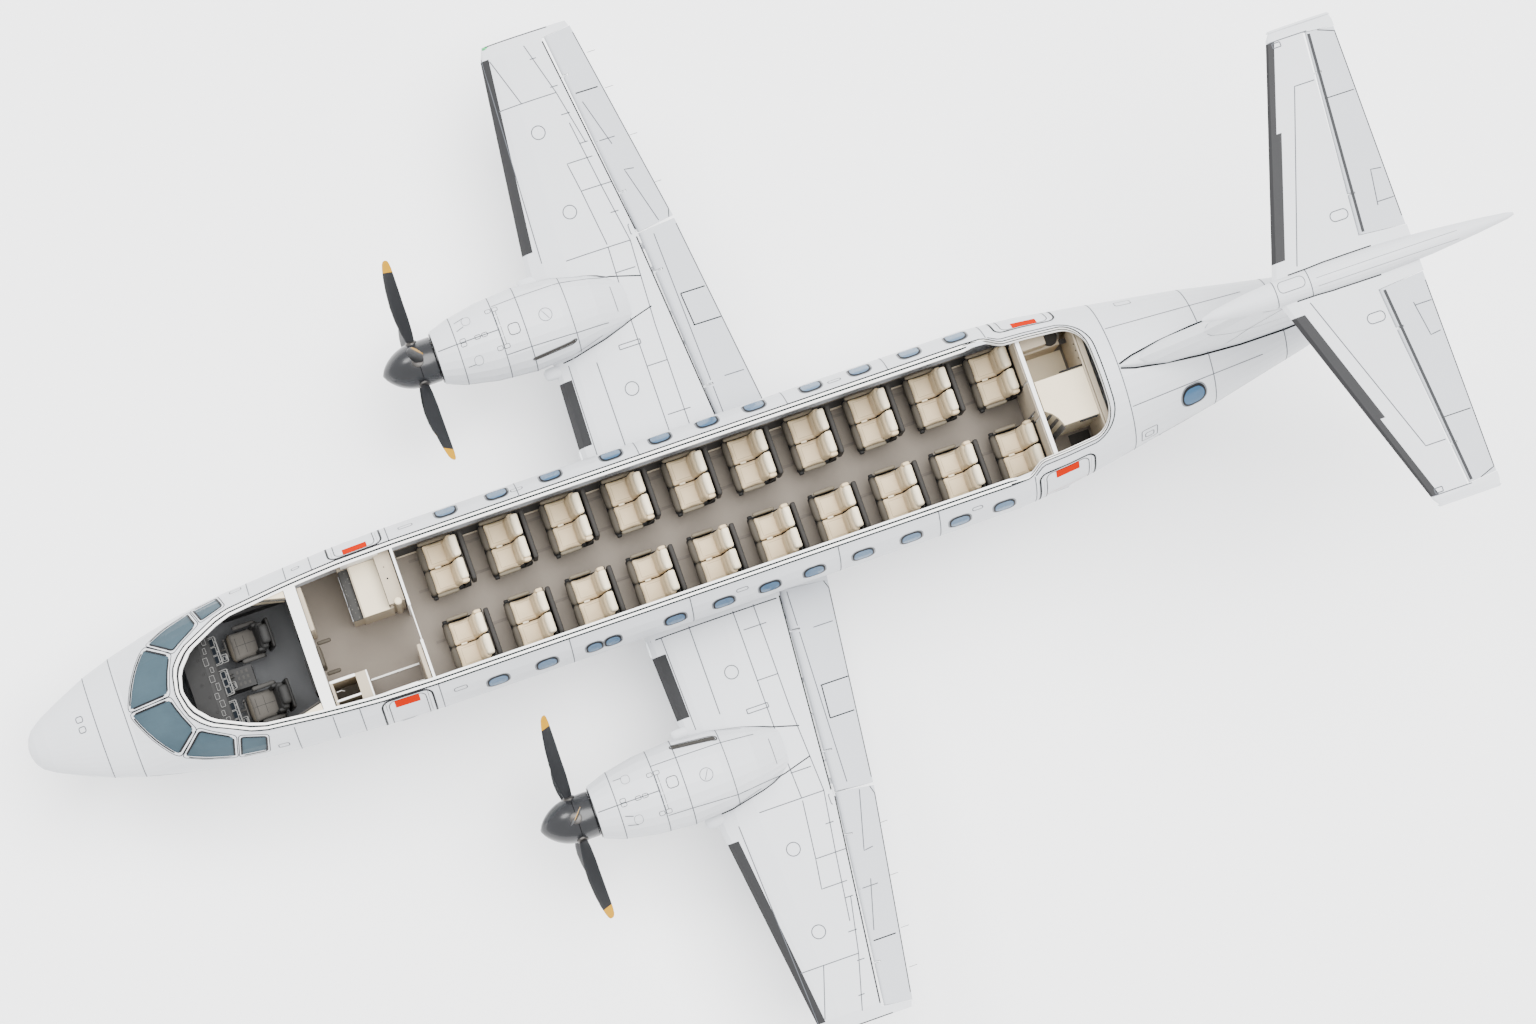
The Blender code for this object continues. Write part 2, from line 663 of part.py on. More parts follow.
def make_cockpit():
    """Pilot seats, instrument panel with its glareshield, and the pedestal with the thrust levers."""
    pieces = {}
    seat_x, seat_y = PILOT_SEAT
    outline = seat_outline(seat_x + 0.27)
    seat = extruded("pilot_seat_left", outline, seat_y - 0.24, seat_y + 0.24)
    low = (seat_x - 0.22, seat_y - 0.12, FLOOR_Z + SEAT)
    unite(seat, box("foot", low, (seat_x + 0.12, seat_y + 0.12, FLOOR_Z + 0.34)))
    pieces["pilot_seat_left"] = seat
    pieces["pilot_seat_right"] = mirrored(seat, "pilot_seat_right")

    panel_z = FLOOR_Z + PANEL_HEIGHT
    panel = fitted("instrument_panel", 8.50, 8.60, -0.90, 0.90, PANEL_HEIGHT, 0.45)
    outline = ((8.40, panel_z - 0.04), (8.44, panel_z + 0.02), (8.90, panel_z - 0.06), (8.90, panel_z - 0.10))
    shield = extruded("shield", outline, -0.86, 0.86)
    legs = [box("leg", (8.51, y - 0.03, FLOOR_Z + SEAT), (8.59, y + 0.03, FLOOR_Z + 0.5))
            for y in (-0.72, 0.72)]
    pieces["instrument_panel"] = unite(panel, shield, *legs)

    foot, rear_top, front_top = FLOOR_Z + SEAT, FLOOR_Z + 0.55, FLOOR_Z + 0.68
    outline = ((7.95, foot), (7.95, rear_top), (8.46, front_top), (8.46, foot))
    pedestal = extruded("pedestal", outline, -0.16, 0.16)
    for y in (-0.04, 0.04):
        unite(pedestal, rod("lever", (8.25, y, FLOOR_Z + 0.60), (8.30, y, FLOOR_Z + 0.76), 0.014, 8))
    pieces["pedestal"] = pedestal
    return pieces


def make_windows():
    """Six cockpit panes, each as a curved plate in its opening."""
    pieces = {}
    rows = (("windshield", WINDSHIELD), ("side_window", SIDE_WINDOW), ("rear_window", REAR_WINDOW))
    for name, corners in rows:
        pane = hull_shell(name + "_left", 9.98, 7.9, 0.012, 0.012 + GLASS_THICKNESS)
        combine(pane, window_cutter(corners, 1, -0.001), "INTERSECT")
        pieces[pane.name] = pane
        pieces[name + "_right"] = mirrored(pane, name + "_right")
    return pieces


# Wings

def interpolate(table, place):
    """The other columns of a table at a place in its first column."""
    for first, second in zip(table, table[1:]):
        if min(first[0], second[0]) <= place <= max(first[0], second[0]):
            share = (place - first[0]) / (second[0] - first[0])
            return [a + share * (b - a) for a, b in zip(first[1:], second[1:])]
    raise ValueError("place lies outside the table")


def half_thickness(fraction, ratio):
    """Half the thickness of a wing section, in chords, as a four-digit section with a closed edge."""
    return 5 * ratio * (0.2969 * sqrt(fraction) - 0.126 * fraction - 0.3516 * fraction ** 2
                        + 0.2843 * fraction ** 3 - 0.1036 * fraction ** 4)


def section_outline(leading, trailing, ratio, camber=0.0, grow=0.0, edge=0.0, steps=9):
    """Points of a wing section as distance forward and height over the chord, from the rear edge.

    Its leading edge is sharp, or flat and twice as high as edge says. It is larger all round by grow.
    """
    chord = leading - trailing
    upper, lower = [], []
    for step in range(steps + 1):
        fraction = (1 - cos(pi * step / steps)) / 2
        middle = 4 * camber * fraction * (1 - fraction) * chord
        half = edge + half_thickness(fraction, ratio) * chord + REAR_EDGE / 4 * fraction
        half += grow if step else 0.0
        x = leading + grow - fraction * (chord + 2 * grow)
        upper.append((x, middle + half))
        lower.append((x, middle - half))
    return upper[::-1] + (lower if edge else lower[1:])


def wing_ring(y, leading, trailing, ratio, grow=0.0):
    height = WING_ROOT_Z + (y - FAIRING_HALF_WIDTH) * DIHEDRAL
    return [(x, y, height + z) for x, z in section_outline(leading, trailing, ratio, WING_CAMBER, grow)]


def make_wing_solid(name, grow=0.0):
    return loft(name, [wing_ring(*row, grow=grow) for row in WING])


def hinge_frame(start, end, normal):
    """Axes at a hinge line's start: along it, backward and out of the surface."""
    along = (end - start).normalized()
    back = Vector(normal).cross(along).normalized()
    out = along.cross(back)
    frame = Matrix((along, back, out)).transposed().to_4x4()
    frame.translation = start
    return frame, (end - start).length


def placed(piece, frame):
    """Moves a piece made in a hinge's own axes to its place, with its origin on the hinge."""
    piece.data.transform(frame.to_3x3().to_4x4())
    piece.location = frame.translation
    return piece


def baked(piece):
    """A piece whose mesh is in world coordinates."""
    piece.data.transform(piece.matrix_basis)
    piece.matrix_basis = Matrix.Identity(4)
    return piece


def make_surface(name, frame, length, noses, chords):
    """A control surface: a round nose on its hinge line, and flat sides to a thin rear edge."""
    rings = []
    for along, nose, chord in zip((0.0, length), noses, chords):
        arc = [(nose * cos(angle), nose * sin(angle))
               for angle in (pi / 2 + pi * step / 8 for step in range(9))]
        outline = arc + [(chord, -REAR_EDGE / 2), (chord, REAR_EDGE / 2)]
        rings.append([(along, back, out) for back, out in outline])
    return placed(loft(name, rings), frame)


def hinge_bay(frame, length, nose, before=RUNNING, after=RUNNING):
    """The room that a control surface needs in the part that carries it."""
    bay = box("bay", (-before, -nose - RUNNING, -0.6), (length + after, 1.6, 0.6))
    return baked(placed(bay, frame))


def add_hinges(surface, carrier, frame, length, nose):
    """Two brackets on the carrier, each in a slot of the surface and around a pin that crosses it."""
    for share in HINGE_PLACES:
        middle = share * length
        reach = nose + 2 * HINGE_EYE
        slot = box("slot", (middle - HINGE_SLOT, -reach, -reach), (middle + HINGE_SLOT, 2 * HINGE_EYE, reach))
        combine(surface, baked(placed(slot, frame)))
        pin = rod("pin", (middle - HINGE_PIN, 0, 0), (middle + HINGE_PIN, 0, 0), HINGE_PIN_RADIUS, 12)
        unite(surface, baked(placed(pin, frame)))
        low = (middle - HINGE_BRACKET, -nose - RUNNING - HINGE_PIN, -HINGE_EYE)
        bracket = box("bracket", low, (middle + HINGE_BRACKET, HINGE_EYE, HINGE_EYE))
        unite(carrier, baked(placed(bracket, frame)))
        bore_ends = [(middle + side * (HINGE_BRACKET + HINGE_BORE_END), 0, 0) for side in (-1, 1)]
        bore = rod("bore", *bore_ends, HINGE_PIN_RADIUS + PIN_PLAY, 12)
        combine(carrier, baked(placed(bore, frame)))


def surface_frame(lines, table, camber, root_height, slope):
    """A control surface's hinge frame, its length and its nose radius at both ends."""
    points, noses = [], []
    for x, y in (lines["start"], lines["end"]):
        leading, trailing, ratio = interpolate(table, y)
        chord = leading - trailing
        fraction = (leading - x) / chord
        height = root_height + (y - table[0][0]) * slope + 4 * camber * fraction * (1 - fraction) * chord
        points.append(Vector((x, y, height)))
        noses.append(half_thickness(fraction, ratio) * chord)
    frame, length = hinge_frame(points[0], points[1], (0, 0, 1))
    return frame, length, noses


def hung_surface(name, carrier, lines, frame, length, noses, after=RUNNING):
    """A control surface with its bay and hinges in the part that carries it."""
    surface = make_surface(name, frame, length, noses, lines["chords"])
    surface = baked(surface)
    combine(carrier, hinge_bay(frame, length, max(noses), after=after))
    add_hinges(surface, carrier, frame, length, max(noses))
    return place_origin(surface, frame.translation)


def make_wings():
    wing = make_wing_solid("wing_left")
    pieces = {"wing_left": wing}
    for name, lines, after in (("flap_left", FLAP, 0.05), ("aileron_left", AILERON, RUNNING)):
        place = surface_frame(lines, WING, WING_CAMBER, WING_ROOT_Z, DIHEDRAL)
        pieces[name] = hung_surface(name, wing, lines, *place, after=after)
    for name in list(pieces):
        other = name.replace("left", "right")
        pieces[other] = mirrored(pieces[name], other)
    return pieces


def make_wing_fairing():
    """The belly fairing between the wings, shaped to the underside of the hull."""
    outlines = []
    for x, half_width, bottom in WING_FAIRING:
        corner = min(half_width * 0.4, 0.25)
        side = [(half_width, CENTRE_Z - 0.55), (half_width, bottom + corner), (half_width - corner, bottom)]
        outlines.append([(x, y, z) for y, z in side] + [(x, -y, z) for y, z in reversed(side)])
    fairing = loft("wing_fairing", outlines)
    return {"wing_fairing": combine(fairing, hull_slice("skin", 4.5, -3.0, -SEAT))}


# Engines, nacelles and propellers

def make_nacelle():
    """A cowling over the wing and a gear bay under it, hollow in front for the engine."""
    cowling = round_loft("nacelle_left", [(x, NACELLE_Y, *size) for x, *size in COWLING])
    bay = round_loft("bay", [(x, NACELLE_Y, *size) for x, *size in GEAR_BAY], 16)
    unite(cowling, bay)
    combine(cowling, make_wing_solid("wing", WING_SEAT))
    room = ENGINE_HALF_SIZE + SEAT
    low = (ENGINE_REAR_X - SEAT, NACELLE_Y - room, PROPELLER_Z - room)
    high = (NACELLE_FRONT_X + 0.1, NACELLE_Y + room, PROPELLER_Z + room)
    combine(cowling, box("engine_room", low, high))
    for leg in main_leg_rods(SEAT):
        combine(cowling, leg)
    low = (ENGINE_REAR_X, NACELLE_Y - ENGINE_HALF_SIZE, PROPELLER_Z - ENGINE_HALF_SIZE)
    high = (ENGINE_FRONT_X, NACELLE_Y + ENGINE_HALF_SIZE, PROPELLER_Z + ENGINE_HALF_SIZE)
    return {"nacelle_left": cowling, "engine_left": box("engine_left", low, high)}


def blade(turn):
    """One propeller blade, twisted from its root to its tip and bent a little like a sabre."""
    rings = []
    for radius, chord, pitch, thickness, sweep in BLADE:
        ring = []
        for x, z in section_outline(chord / 2, -chord / 2, thickness, steps=5):
            across = x + sweep
            forward = across * sin(radians(pitch)) + z * cos(radians(pitch))
            sideways = across * cos(radians(pitch)) - z * sin(radians(pitch))
            ring.append(Vector((forward, sideways, radius)))
        rings.append(ring)
    piece = loft("blade", rings)
    piece.data.transform(Matrix.Translation((BLADE_X, 0, 0)) @ Matrix.Rotation(turn, 4, "X"))
    return piece


def make_propeller():
    """Spinner, shaft and five blades in one piece, with its origin on the shaft's axis."""
    length = SPINNER_TIP_X - SPINNER_BASE_X
    rings = []
    for share in (0.0, 0.25, 0.5, 0.7, 0.85, 0.95, 0.99):
        radius = SPINNER_RADIUS * (1 - share ** 2.2) ** 0.75
        x = SPINNER_BASE_X + share * length
        rings.append([(x, radius * cos(angle), radius * sin(angle))
                      for angle in (2 * pi * step / 24 for step in range(24))])
    propeller = loft("propeller_left", rings)
    shaft_ends = ((ENGINE_FRONT_X + SEAT, 0, 0), (SPINNER_BASE_X + 0.05, 0, 0))
    unite(propeller, rod("shaft", *shaft_ends, SHAFT_RADIUS))
    for number in range(BLADE_COUNT):
        unite(propeller, blade(2 * pi * number / BLADE_COUNT))
    propeller.data.transform(Matrix.Translation((-BLADE_X, 0, 0)))
    propeller.location = (BLADE_X, NACELLE_Y, PROPELLER_Z)
    return {"propeller_left": propeller}


def make_engines():
    pieces = {**make_nacelle(), **make_propeller()}
    for name in list(pieces):
        other = name.replace("left", "right")
        pieces[other] = mirrored(pieces[name], other)
    return pieces


# Tail

def fin_outline(height, leading, trailing, thickness):
    chord = leading - trailing
    ratio = thickness / chord
    return [(x, y, CENTRE_Z + height) for x, y in section_outline(leading, trailing, ratio, edge=FIN_EDGE)]


def bullet_solid(name, grow=0.0):
    return round_loft(name, [(x, 0.0, radius + grow, TAILPLANE_Z + radius + grow, TAILPLANE_Z - radius - grow)
                             for x, radius in BULLET])


def make_tailplane_solid(name, grow=0.0):
    rings = []
    for side, rows in ((-1, reversed(TAILPLANE[1:])), (1, TAILPLANE)):
        for y, leading, trailing, ratio in rows:
            outline = section_outline(leading, trailing, ratio, grow=grow)
            rings.append([(x, side * y, TAILPLANE_Z + z) for x, z in outline])
    return loft(name, rings)


def make_tail():
    pieces = {}
    fin = loft("fin", [fin_outline(*row) for row in FIN])
    combine(fin, hull_slice("skin", REAR_BULKHEAD_X - SEAT, TAIL_CONE_X, -TAIL_SEAT))
    combine(fin, bullet_solid("bullet", SEAT))
    frame, length = hinge_frame(Vector(FIN_HINGE_BOTTOM), Vector(FIN_HINGE_TOP), (0, -1, 0))
    noses = []
    for x, _, z in (FIN_HINGE_BOTTOM, FIN_HINGE_TOP):
        leading, trailing, thickness = interpolate(FIN, z - CENTRE_Z)
        chord = leading - trailing
        noses.append(half_thickness((leading - x) / chord, thickness / chord) * chord)
    rudder_lines = dict(chords=RUDDER_CHORDS)
    pieces["rudder"] = hung_surface("rudder", fin, rudder_lines, frame, length, noses)
    pieces["fin"] = fin

    tailplane = make_tailplane_solid("tailplane")
    bullet = combine(bullet_solid("tail_bullet"), make_tailplane_solid("slot", WING_SEAT))
    place = surface_frame(ELEVATOR, TAILPLANE, 0.0, TAILPLANE_Z, 0.0)
    elevator = hung_surface("elevator_left", tailplane, ELEVATOR, *place)
    pieces["elevator_left"] = elevator
    pieces["elevator_right"] = mirrored(elevator, "elevator_right")
    port_half = keep_inside(tailplane, (-FAR, 0, 0), (FAR, FAR, FAR))
    pieces["tailplane"] = unite(port_half, mirrored(port_half, "starboard_half"))
    pieces["tail_bullet"] = bullet
    return pieces


# Landing gear

def nose_leg_rods(grow):
    """The nose leg's fixed cylinder and its drag brace, wider by grow."""
    top, bottom = NOSE_LEG["top"], NOSE_LEG["bottom"]
    x = NOSE_LEG_X
    return [rod("nose_gear_leg", (x, 0, bottom), (x, 0, top), NOSE_LEG["radius"], grow=grow),
            rod("brace", (x - 0.02, 0, bottom + 0.12), (x - 0.85, 0, 1.62), BRACE_RADIUS, 12, grow)]


def main_leg_rods(grow):
    """A main leg's fixed cylinder and its drag brace, wider by grow, on the port side."""
    top, bottom = MAIN_LEG["top"], MAIN_LEG["bottom"]
    x, y = MAIN_LEG_X, NACELLE_Y
    return [rod("main_gear_leg_left", (x, y, bottom), (x, y, top), MAIN_LEG["radius"], grow=grow),
            rod("brace", (x + 0.02, y, bottom + 0.14), (x + 0.85, y, 1.66), BRACE_RADIUS, 12, grow)]


def piston(name, x, y, leg, tyre, top):
    """The sliding lower end of a leg, with the sleeve that its axle turns in."""
    axle_z = axle_height(tyre)
    lower = rod(name, (x, y, axle_z), (x, y, top), leg["piston"])
    half_sleeve = tyre["offset"] - tyre["width"] / 2 - 0.012
    sleeve_radius = tyre["axle"] + 0.03
    unite(lower, rod("sleeve", (x, y - half_sleeve, axle_z), (x, y + half_sleeve, axle_z), sleeve_radius, 24))
    bore_ends = [(x, y + side * (half_sleeve + 0.1), axle_z) for side in (-1, 1)]
    return combine(lower, rod("bore", *bore_ends, tyre["axle"] + PIN_PLAY, 24))


def axle_height(tyre):
    """Height of an axle whose faceted tyre stands on one of its flats."""
    return tyre["radius"] * cos(pi / WHEEL_SIDES)


def make_wheels(name, x, y, tyre):
    """Twin tyres on one axle, which turns in the leg's sleeve."""
    axle_z = axle_height(tyre)
    axle_ends = [(0, side * (tyre["offset"] + tyre["width"] * 0.2), 0) for side in (-1, 1)]
    wheels = rod(name, *axle_ends, tyre["axle"], 24)
    half = tyre["width"] / 2
    hub = TYRE[0][1] * half * 0.4
    section = [(share * half, radius * tyre["radius"]) for radius, share in TYRE]
    profile = [(-hub, 0.02)] + [(-across, radius) for across, radius in section]
    profile += list(reversed(section)) + [(hub, 0.02)]
    for side in (-1, 1):
        middle = side * tyre["offset"]
        rings = []
        for across, radius in profile:
            rings.append([(radius * sin(angle), middle + across, radius * cos(angle))
                          for angle in (2 * pi * (step + 0.5) / WHEEL_SIDES for step in range(WHEEL_SIDES))])
        unite(wheels, loft("wheel", rings))
    wheels.location = (x, y, axle_z)
    return wheels


def make_gear():
    pieces = {}
    leg, brace = nose_leg_rods(0.0)
    pieces["nose_gear_leg"] = unite(leg, brace)
    fork = piston("nose_gear_fork", NOSE_LEG_X, 0.0, NOSE_LEG, NOSE_TYRE, NOSE_LEG["bottom"] - SEAT)
    pieces["nose_gear_fork"] = place_origin(fork, (NOSE_LEG_X, 0, axle_height(NOSE_TYRE)))
    pieces["nose_wheels"] = make_wheels("nose_wheels", NOSE_LEG_X, 0.0, NOSE_TYRE)

    leg, brace = main_leg_rods(0.0)
    lower = piston("lower", MAIN_LEG_X, NACELLE_Y, MAIN_LEG, MAIN_TYRE, MAIN_LEG["bottom"] + 0.05)
    pieces["main_gear_leg_left"] = unite(leg, brace, lower)
    pieces["main_wheels_left"] = make_wheels("main_wheels_left", MAIN_LEG_X, NACELLE_Y, MAIN_TYRE)
    for name in ("main_gear_leg_left", "main_wheels_left"):
        other = name.replace("left", "right")
        pieces[other] = mirrored(pieces[name], other)
    return pieces


# Finish: the start of each node's name, and its material
FINISH = (
    ("engine", "engine_casting"), ("propeller", "charcoal"), ("nose_gear", "grey_metal"),
    ("main_gear", "grey_metal"), ("nose_wheels", "tyre_rubber"), ("main_wheels", "tyre_rubber"),
    ("cabin_floor", "cabin_carpet"), ("seats", "seat_leather"), ("pilot_seat", "pilot_fabric"),
    ("windshield", "window_glass"), ("side_window", "window_glass"), ("rear_window", "window_glass"),
    ("instrument_panel", "charcoal"), ("pedestal", "charcoal"),
    ("galley", "cabin_trim"), ("wardrobe", "cabin_trim"), ("partition", "cabin_trim"),
    ("lavatory", "cabin_trim"), ("vanity", "cabin_trim"), ("rear_bulkhead", "cabin_trim"),
    ("nose_cone", "painted_composite"), ("wing_fairing", "painted_composite"), ("fin", "painted_composite"),
    ("rudder", "painted_composite"), ("tailplane", "painted_composite"), ("elevator", "painted_composite"),
    ("tail_bullet", "painted_composite"),
)


def finish(pieces, materials):
    for name, piece in pieces.items():
        piece.name = name
        chosen = next((finish_name for start, finish_name in FINISH if name.startswith(start)), "white_paint")
        piece.data.materials.clear()
        piece.data.materials.append(materials[chosen])
        piece.data.shade_smooth()
        piece.data.set_sharp_from_angle(angle=radians(30))


def main():
    for old in list(bpy.data.objects):
        bpy.data.objects.remove(old)
    materials = make_materials()
    pieces = make_hull()
    unite(pieces["entry_section"], *door_lugs())
    for make in (make_doors, make_interior, make_passenger_seats, make_cockpit, make_windows, make_wings,
                 make_wing_fairing, make_engines, make_tail, make_gear):
        pieces.update(make())
    finish(pieces, materials)


main()
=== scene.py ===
"""The looks of a turboprop airliner with its cabin roof cut away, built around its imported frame.

X points forward, Y to port and Z up, in metres, with the ground at z = 0. Heights in the hull's own
tables are counted from the cabin's centre line. Lines and plates on a skin are laid onto the frame's
meshes by rays, so they follow every curve.
"""
from math import cos, inf, pi, radians, sin, sqrt

import bpy
from mathutils import Matrix, Vector
from mathutils.bvhtree import BVHTree


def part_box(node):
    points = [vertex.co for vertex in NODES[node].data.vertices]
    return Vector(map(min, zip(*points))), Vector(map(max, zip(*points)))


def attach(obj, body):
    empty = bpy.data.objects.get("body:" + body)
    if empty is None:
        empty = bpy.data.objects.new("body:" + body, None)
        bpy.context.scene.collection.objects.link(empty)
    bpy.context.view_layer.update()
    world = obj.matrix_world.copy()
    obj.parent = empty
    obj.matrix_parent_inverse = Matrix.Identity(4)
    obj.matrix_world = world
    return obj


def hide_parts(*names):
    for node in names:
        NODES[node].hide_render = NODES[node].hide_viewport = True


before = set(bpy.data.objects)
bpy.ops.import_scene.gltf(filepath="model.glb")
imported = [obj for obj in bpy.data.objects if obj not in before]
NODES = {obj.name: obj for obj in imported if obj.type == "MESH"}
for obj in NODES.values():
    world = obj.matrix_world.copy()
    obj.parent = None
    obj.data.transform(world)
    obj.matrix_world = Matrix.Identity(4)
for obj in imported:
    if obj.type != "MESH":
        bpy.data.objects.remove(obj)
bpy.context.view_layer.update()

# Places in the frame, those of the cut, the floor and the rear ring read from it
CENTRE_Z = 2.70
CUT_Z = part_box("rear_bulkhead")[1][2]
FLOOR_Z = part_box("cabin_floor")[1][2]
NACELLE_Y = 3.65
PROPELLER_Z = 2.40
BLADE_X = 4.10
TIP_RADIUS = 1.49
NOSE_LEG_X = 9.35
MAIN_LEG_X = 0.55
MAIN_LEG_Y = 3.65
REAR_RING_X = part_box("tail_section")[1][0]

# How lines are laid on a skin: step along them, and height over the skin
STEP = 0.05
LIFT = 0.0028
THIN = 0.015
BOLD = 0.032

# Directions, and turns that take a revolved profile's axis to each of them
DOWN = Vector((0, 0, -1))
UPWARD = Vector((0, 0, 1))
FORE = Vector((1, 0, 0))
AFT = Vector((-1, 0, 0))
PORT = Vector((0, 1, 0))
AXIS_FORE = Matrix.Rotation(-pi / 2, 3, "Z")
AXIS_AFT = Matrix.Rotation(pi / 2, 3, "Z")
AXIS_UP = Matrix.Rotation(pi / 2, 3, "X")
AXIS_DOWN = Matrix.Rotation(-pi / 2, 3, "X")
SIDES = ((1, "left"), (-1, "right"))

# Where rays start: beside the hull, over the hull, a nacelle, and the wings and tail, and under the wings
BESIDE = 2.5
OVER_HULL = 6
OVER_COWL = 5
OVER_WING = 8
UNDER_WING = 0.1

WHITE = (0.60, 0.612, 0.632)
BOOT = (0.028, 0.028, 0.029)
CHARCOAL = (0.015, 0.0155, 0.017)
TIP_YELLOW = (0.46, 0.23, 0.0)
COCKPIT_FLOOR = (0.098, 0.100, 0.103)
SCUFF = (0.085, 0.08, 0.072)
ROUGHNESS_SPREAD = 0.07


# Materials

class Graph:
    """Short calls for the nodes of one material."""

    def __init__(self, material):
        self.tree = material.node_tree
        self.shader = self.tree.nodes["Principled BSDF"]

    def node(self, kind, **inputs):
        node = self.tree.nodes.new(kind)
        for key, value in inputs.items():
            self.feed(node.inputs[key.replace("_", " ")], value)
        return node

    def feed(self, socket, value):
        if isinstance(value, bpy.types.NodeSocket):
            self.tree.links.new(value, socket)
        else:
            socket.default_value = value

    def maths(self, operation, first, second=0.0):
        node = self.tree.nodes.new("ShaderNodeMath")
        node.operation = operation
        self.feed(node.inputs[0], first)
        self.feed(node.inputs[1], second)
        return node.outputs[0]

    def mix(self, factor, first, second):
        node = self.tree.nodes.new("ShaderNodeMix")
        node.data_type = "RGBA"
        self.feed(node.inputs["Factor"], factor)
        self.feed(node.inputs["A"], first)
        self.feed(node.inputs["B"], second)
        return node.outputs["Result"]

    def spot(self):
        return self.tree.nodes.new("ShaderNodeTexCoord").outputs["Object"]

    def place(self):
        """X, Y and Z in the frame."""
        split = self.node("ShaderNodeSeparateXYZ", Vector=self.spot())
        return split.outputs["X"], split.outputs["Y"], split.outputs["Z"]

    def noise(self, scale, detail=4.0):
        return self.node("ShaderNodeTexNoise", Vector=self.spot(), Scale=scale, Detail=detail).outputs["Fac"]

    def cells(self, scale):
        return self.node("ShaderNodeTexVoronoi", Vector=self.spot(), Scale=scale).outputs["Distance"]


def shaded(colour, share):
    return (*(min(channel * share, 1.0) for channel in colour), 1.0)


def material(name, colour, roughness, metallic=0.0, patches=0.05, scale=1.2, grain=None, coat=0.0,
             sheen=0.0, shine=0.12, masks=()):
    """Colour and roughness vary in soft patches, and a grain (kind, scale, depth) gives the relief.

    Each mask is a function of the graph that returns where a second colour shows, and that colour.
    """
    made = bpy.data.materials.new(name)
    made.use_nodes = True
    graph = Graph(made)
    shader = graph.shader
    patch = graph.noise(scale)
    base = graph.mix(patch, shaded(colour, 1 - patches), shaded(colour, 1 + patches))
    for mask, second in masks:
        base = graph.mix(mask(graph), base, (*second, 1.0))
    graph.feed(shader.inputs["Base Color"], base)
    spread = graph.node("ShaderNodeMapRange", Value=graph.noise(scale * 3),
                        To_Min=max(roughness - ROUGHNESS_SPREAD, 0.02),
                        To_Max=min(roughness + ROUGHNESS_SPREAD, 1.0))
    graph.feed(shader.inputs["Roughness"], spread.outputs["Result"])
    shader.inputs["Metallic"].default_value = metallic
    shader.inputs["Specular IOR Level"].default_value = shine
    shader.inputs["Coat Weight"].default_value = coat
    shader.inputs["Coat Roughness"].default_value = 0.12
    shader.inputs["Sheen Weight"].default_value = sheen
    if grain:
        kind, grain_scale, depth = grain
        relief = graph.cells(grain_scale) if kind == "cells" else graph.noise(grain_scale, 6.0)
        bump = graph.node("ShaderNodeBump", Height=relief, Distance=depth, Strength=0.6)
        graph.feed(shader.inputs["Normal"], bump.outputs["Normal"])
    return made


def span_share(graph, distance, low, high):
    """1 between two distances, else 0."""
    over = graph.maths("GREATER_THAN", distance, low)
    return graph.maths("MULTIPLY", over, graph.maths("LESS_THAN", distance, high))


def wing_boot_mask(graph):
    """The strip behind the wing's leading edge, inboard and outboard of the nacelle."""
    x, y, _ = graph.place()
    out = graph.maths("ABSOLUTE", y)
    inner = graph.maths("ADD", graph.maths("MULTIPLY", out, -0.0385), 2.245)
    outer = graph.maths("ADD", graph.maths("MULTIPLY", out, -0.1203), 2.617)
    edge = graph.maths("MINIMUM", inner, outer)
    depth = graph.maths("ADD", graph.maths("MULTIPLY", out, -0.0135), 0.235)
    near = graph.maths("GREATER_THAN", x, graph.maths("SUBTRACT", edge, depth))
    places = graph.maths("ADD", span_share(graph, out, 1.70, 2.73), span_share(graph, out, 4.76, 7.76))
    return graph.maths("MULTIPLY", near, places)


def tail_boot_mask(graph):
    """The strip behind the tailplane's leading edge, wider inboard."""
    x, y, _ = graph.place()
    out = graph.maths("ABSOLUTE", y)
    edge = graph.maths("ADD", graph.maths("MULTIPLY", out, -0.3352), -7.75)
    depth = graph.maths("ADD", graph.maths("MULTIPLY", graph.maths("LESS_THAN", out, 2.2), 0.075), 0.125)
    near = graph.maths("GREATER_THAN", x, graph.maths("SUBTRACT", edge, depth))
    return graph.maths("MULTIPLY", near, span_share(graph, out, 0.42, 3.50))


def tip_mask(side):
    """The ends of the blades of one propeller."""
    def mask(graph):
        _, y, z = graph.place()
        across = graph.maths("SUBTRACT", y, side * NACELLE_Y)
        up = graph.maths("SUBTRACT", z, PROPELLER_Z)
        square = graph.maths("ADD", graph.maths("MULTIPLY", across, across), graph.maths("MULTIPLY", up, up))
        return graph.maths("GREATER_THAN", square, TIP_RADIUS ** 2)
    return mask


def cockpit_mask(graph):
    """The dark floor ahead of the cockpit's bulkhead."""
    x, _, _ = graph.place()
    return graph.maths("GREATER_THAN", x, 7.03)


def scuff_mask(graph):
    """Scattered light scratches."""
    return graph.maths("GREATER_THAN", graph.noise(23.0, 8.0), 0.64)


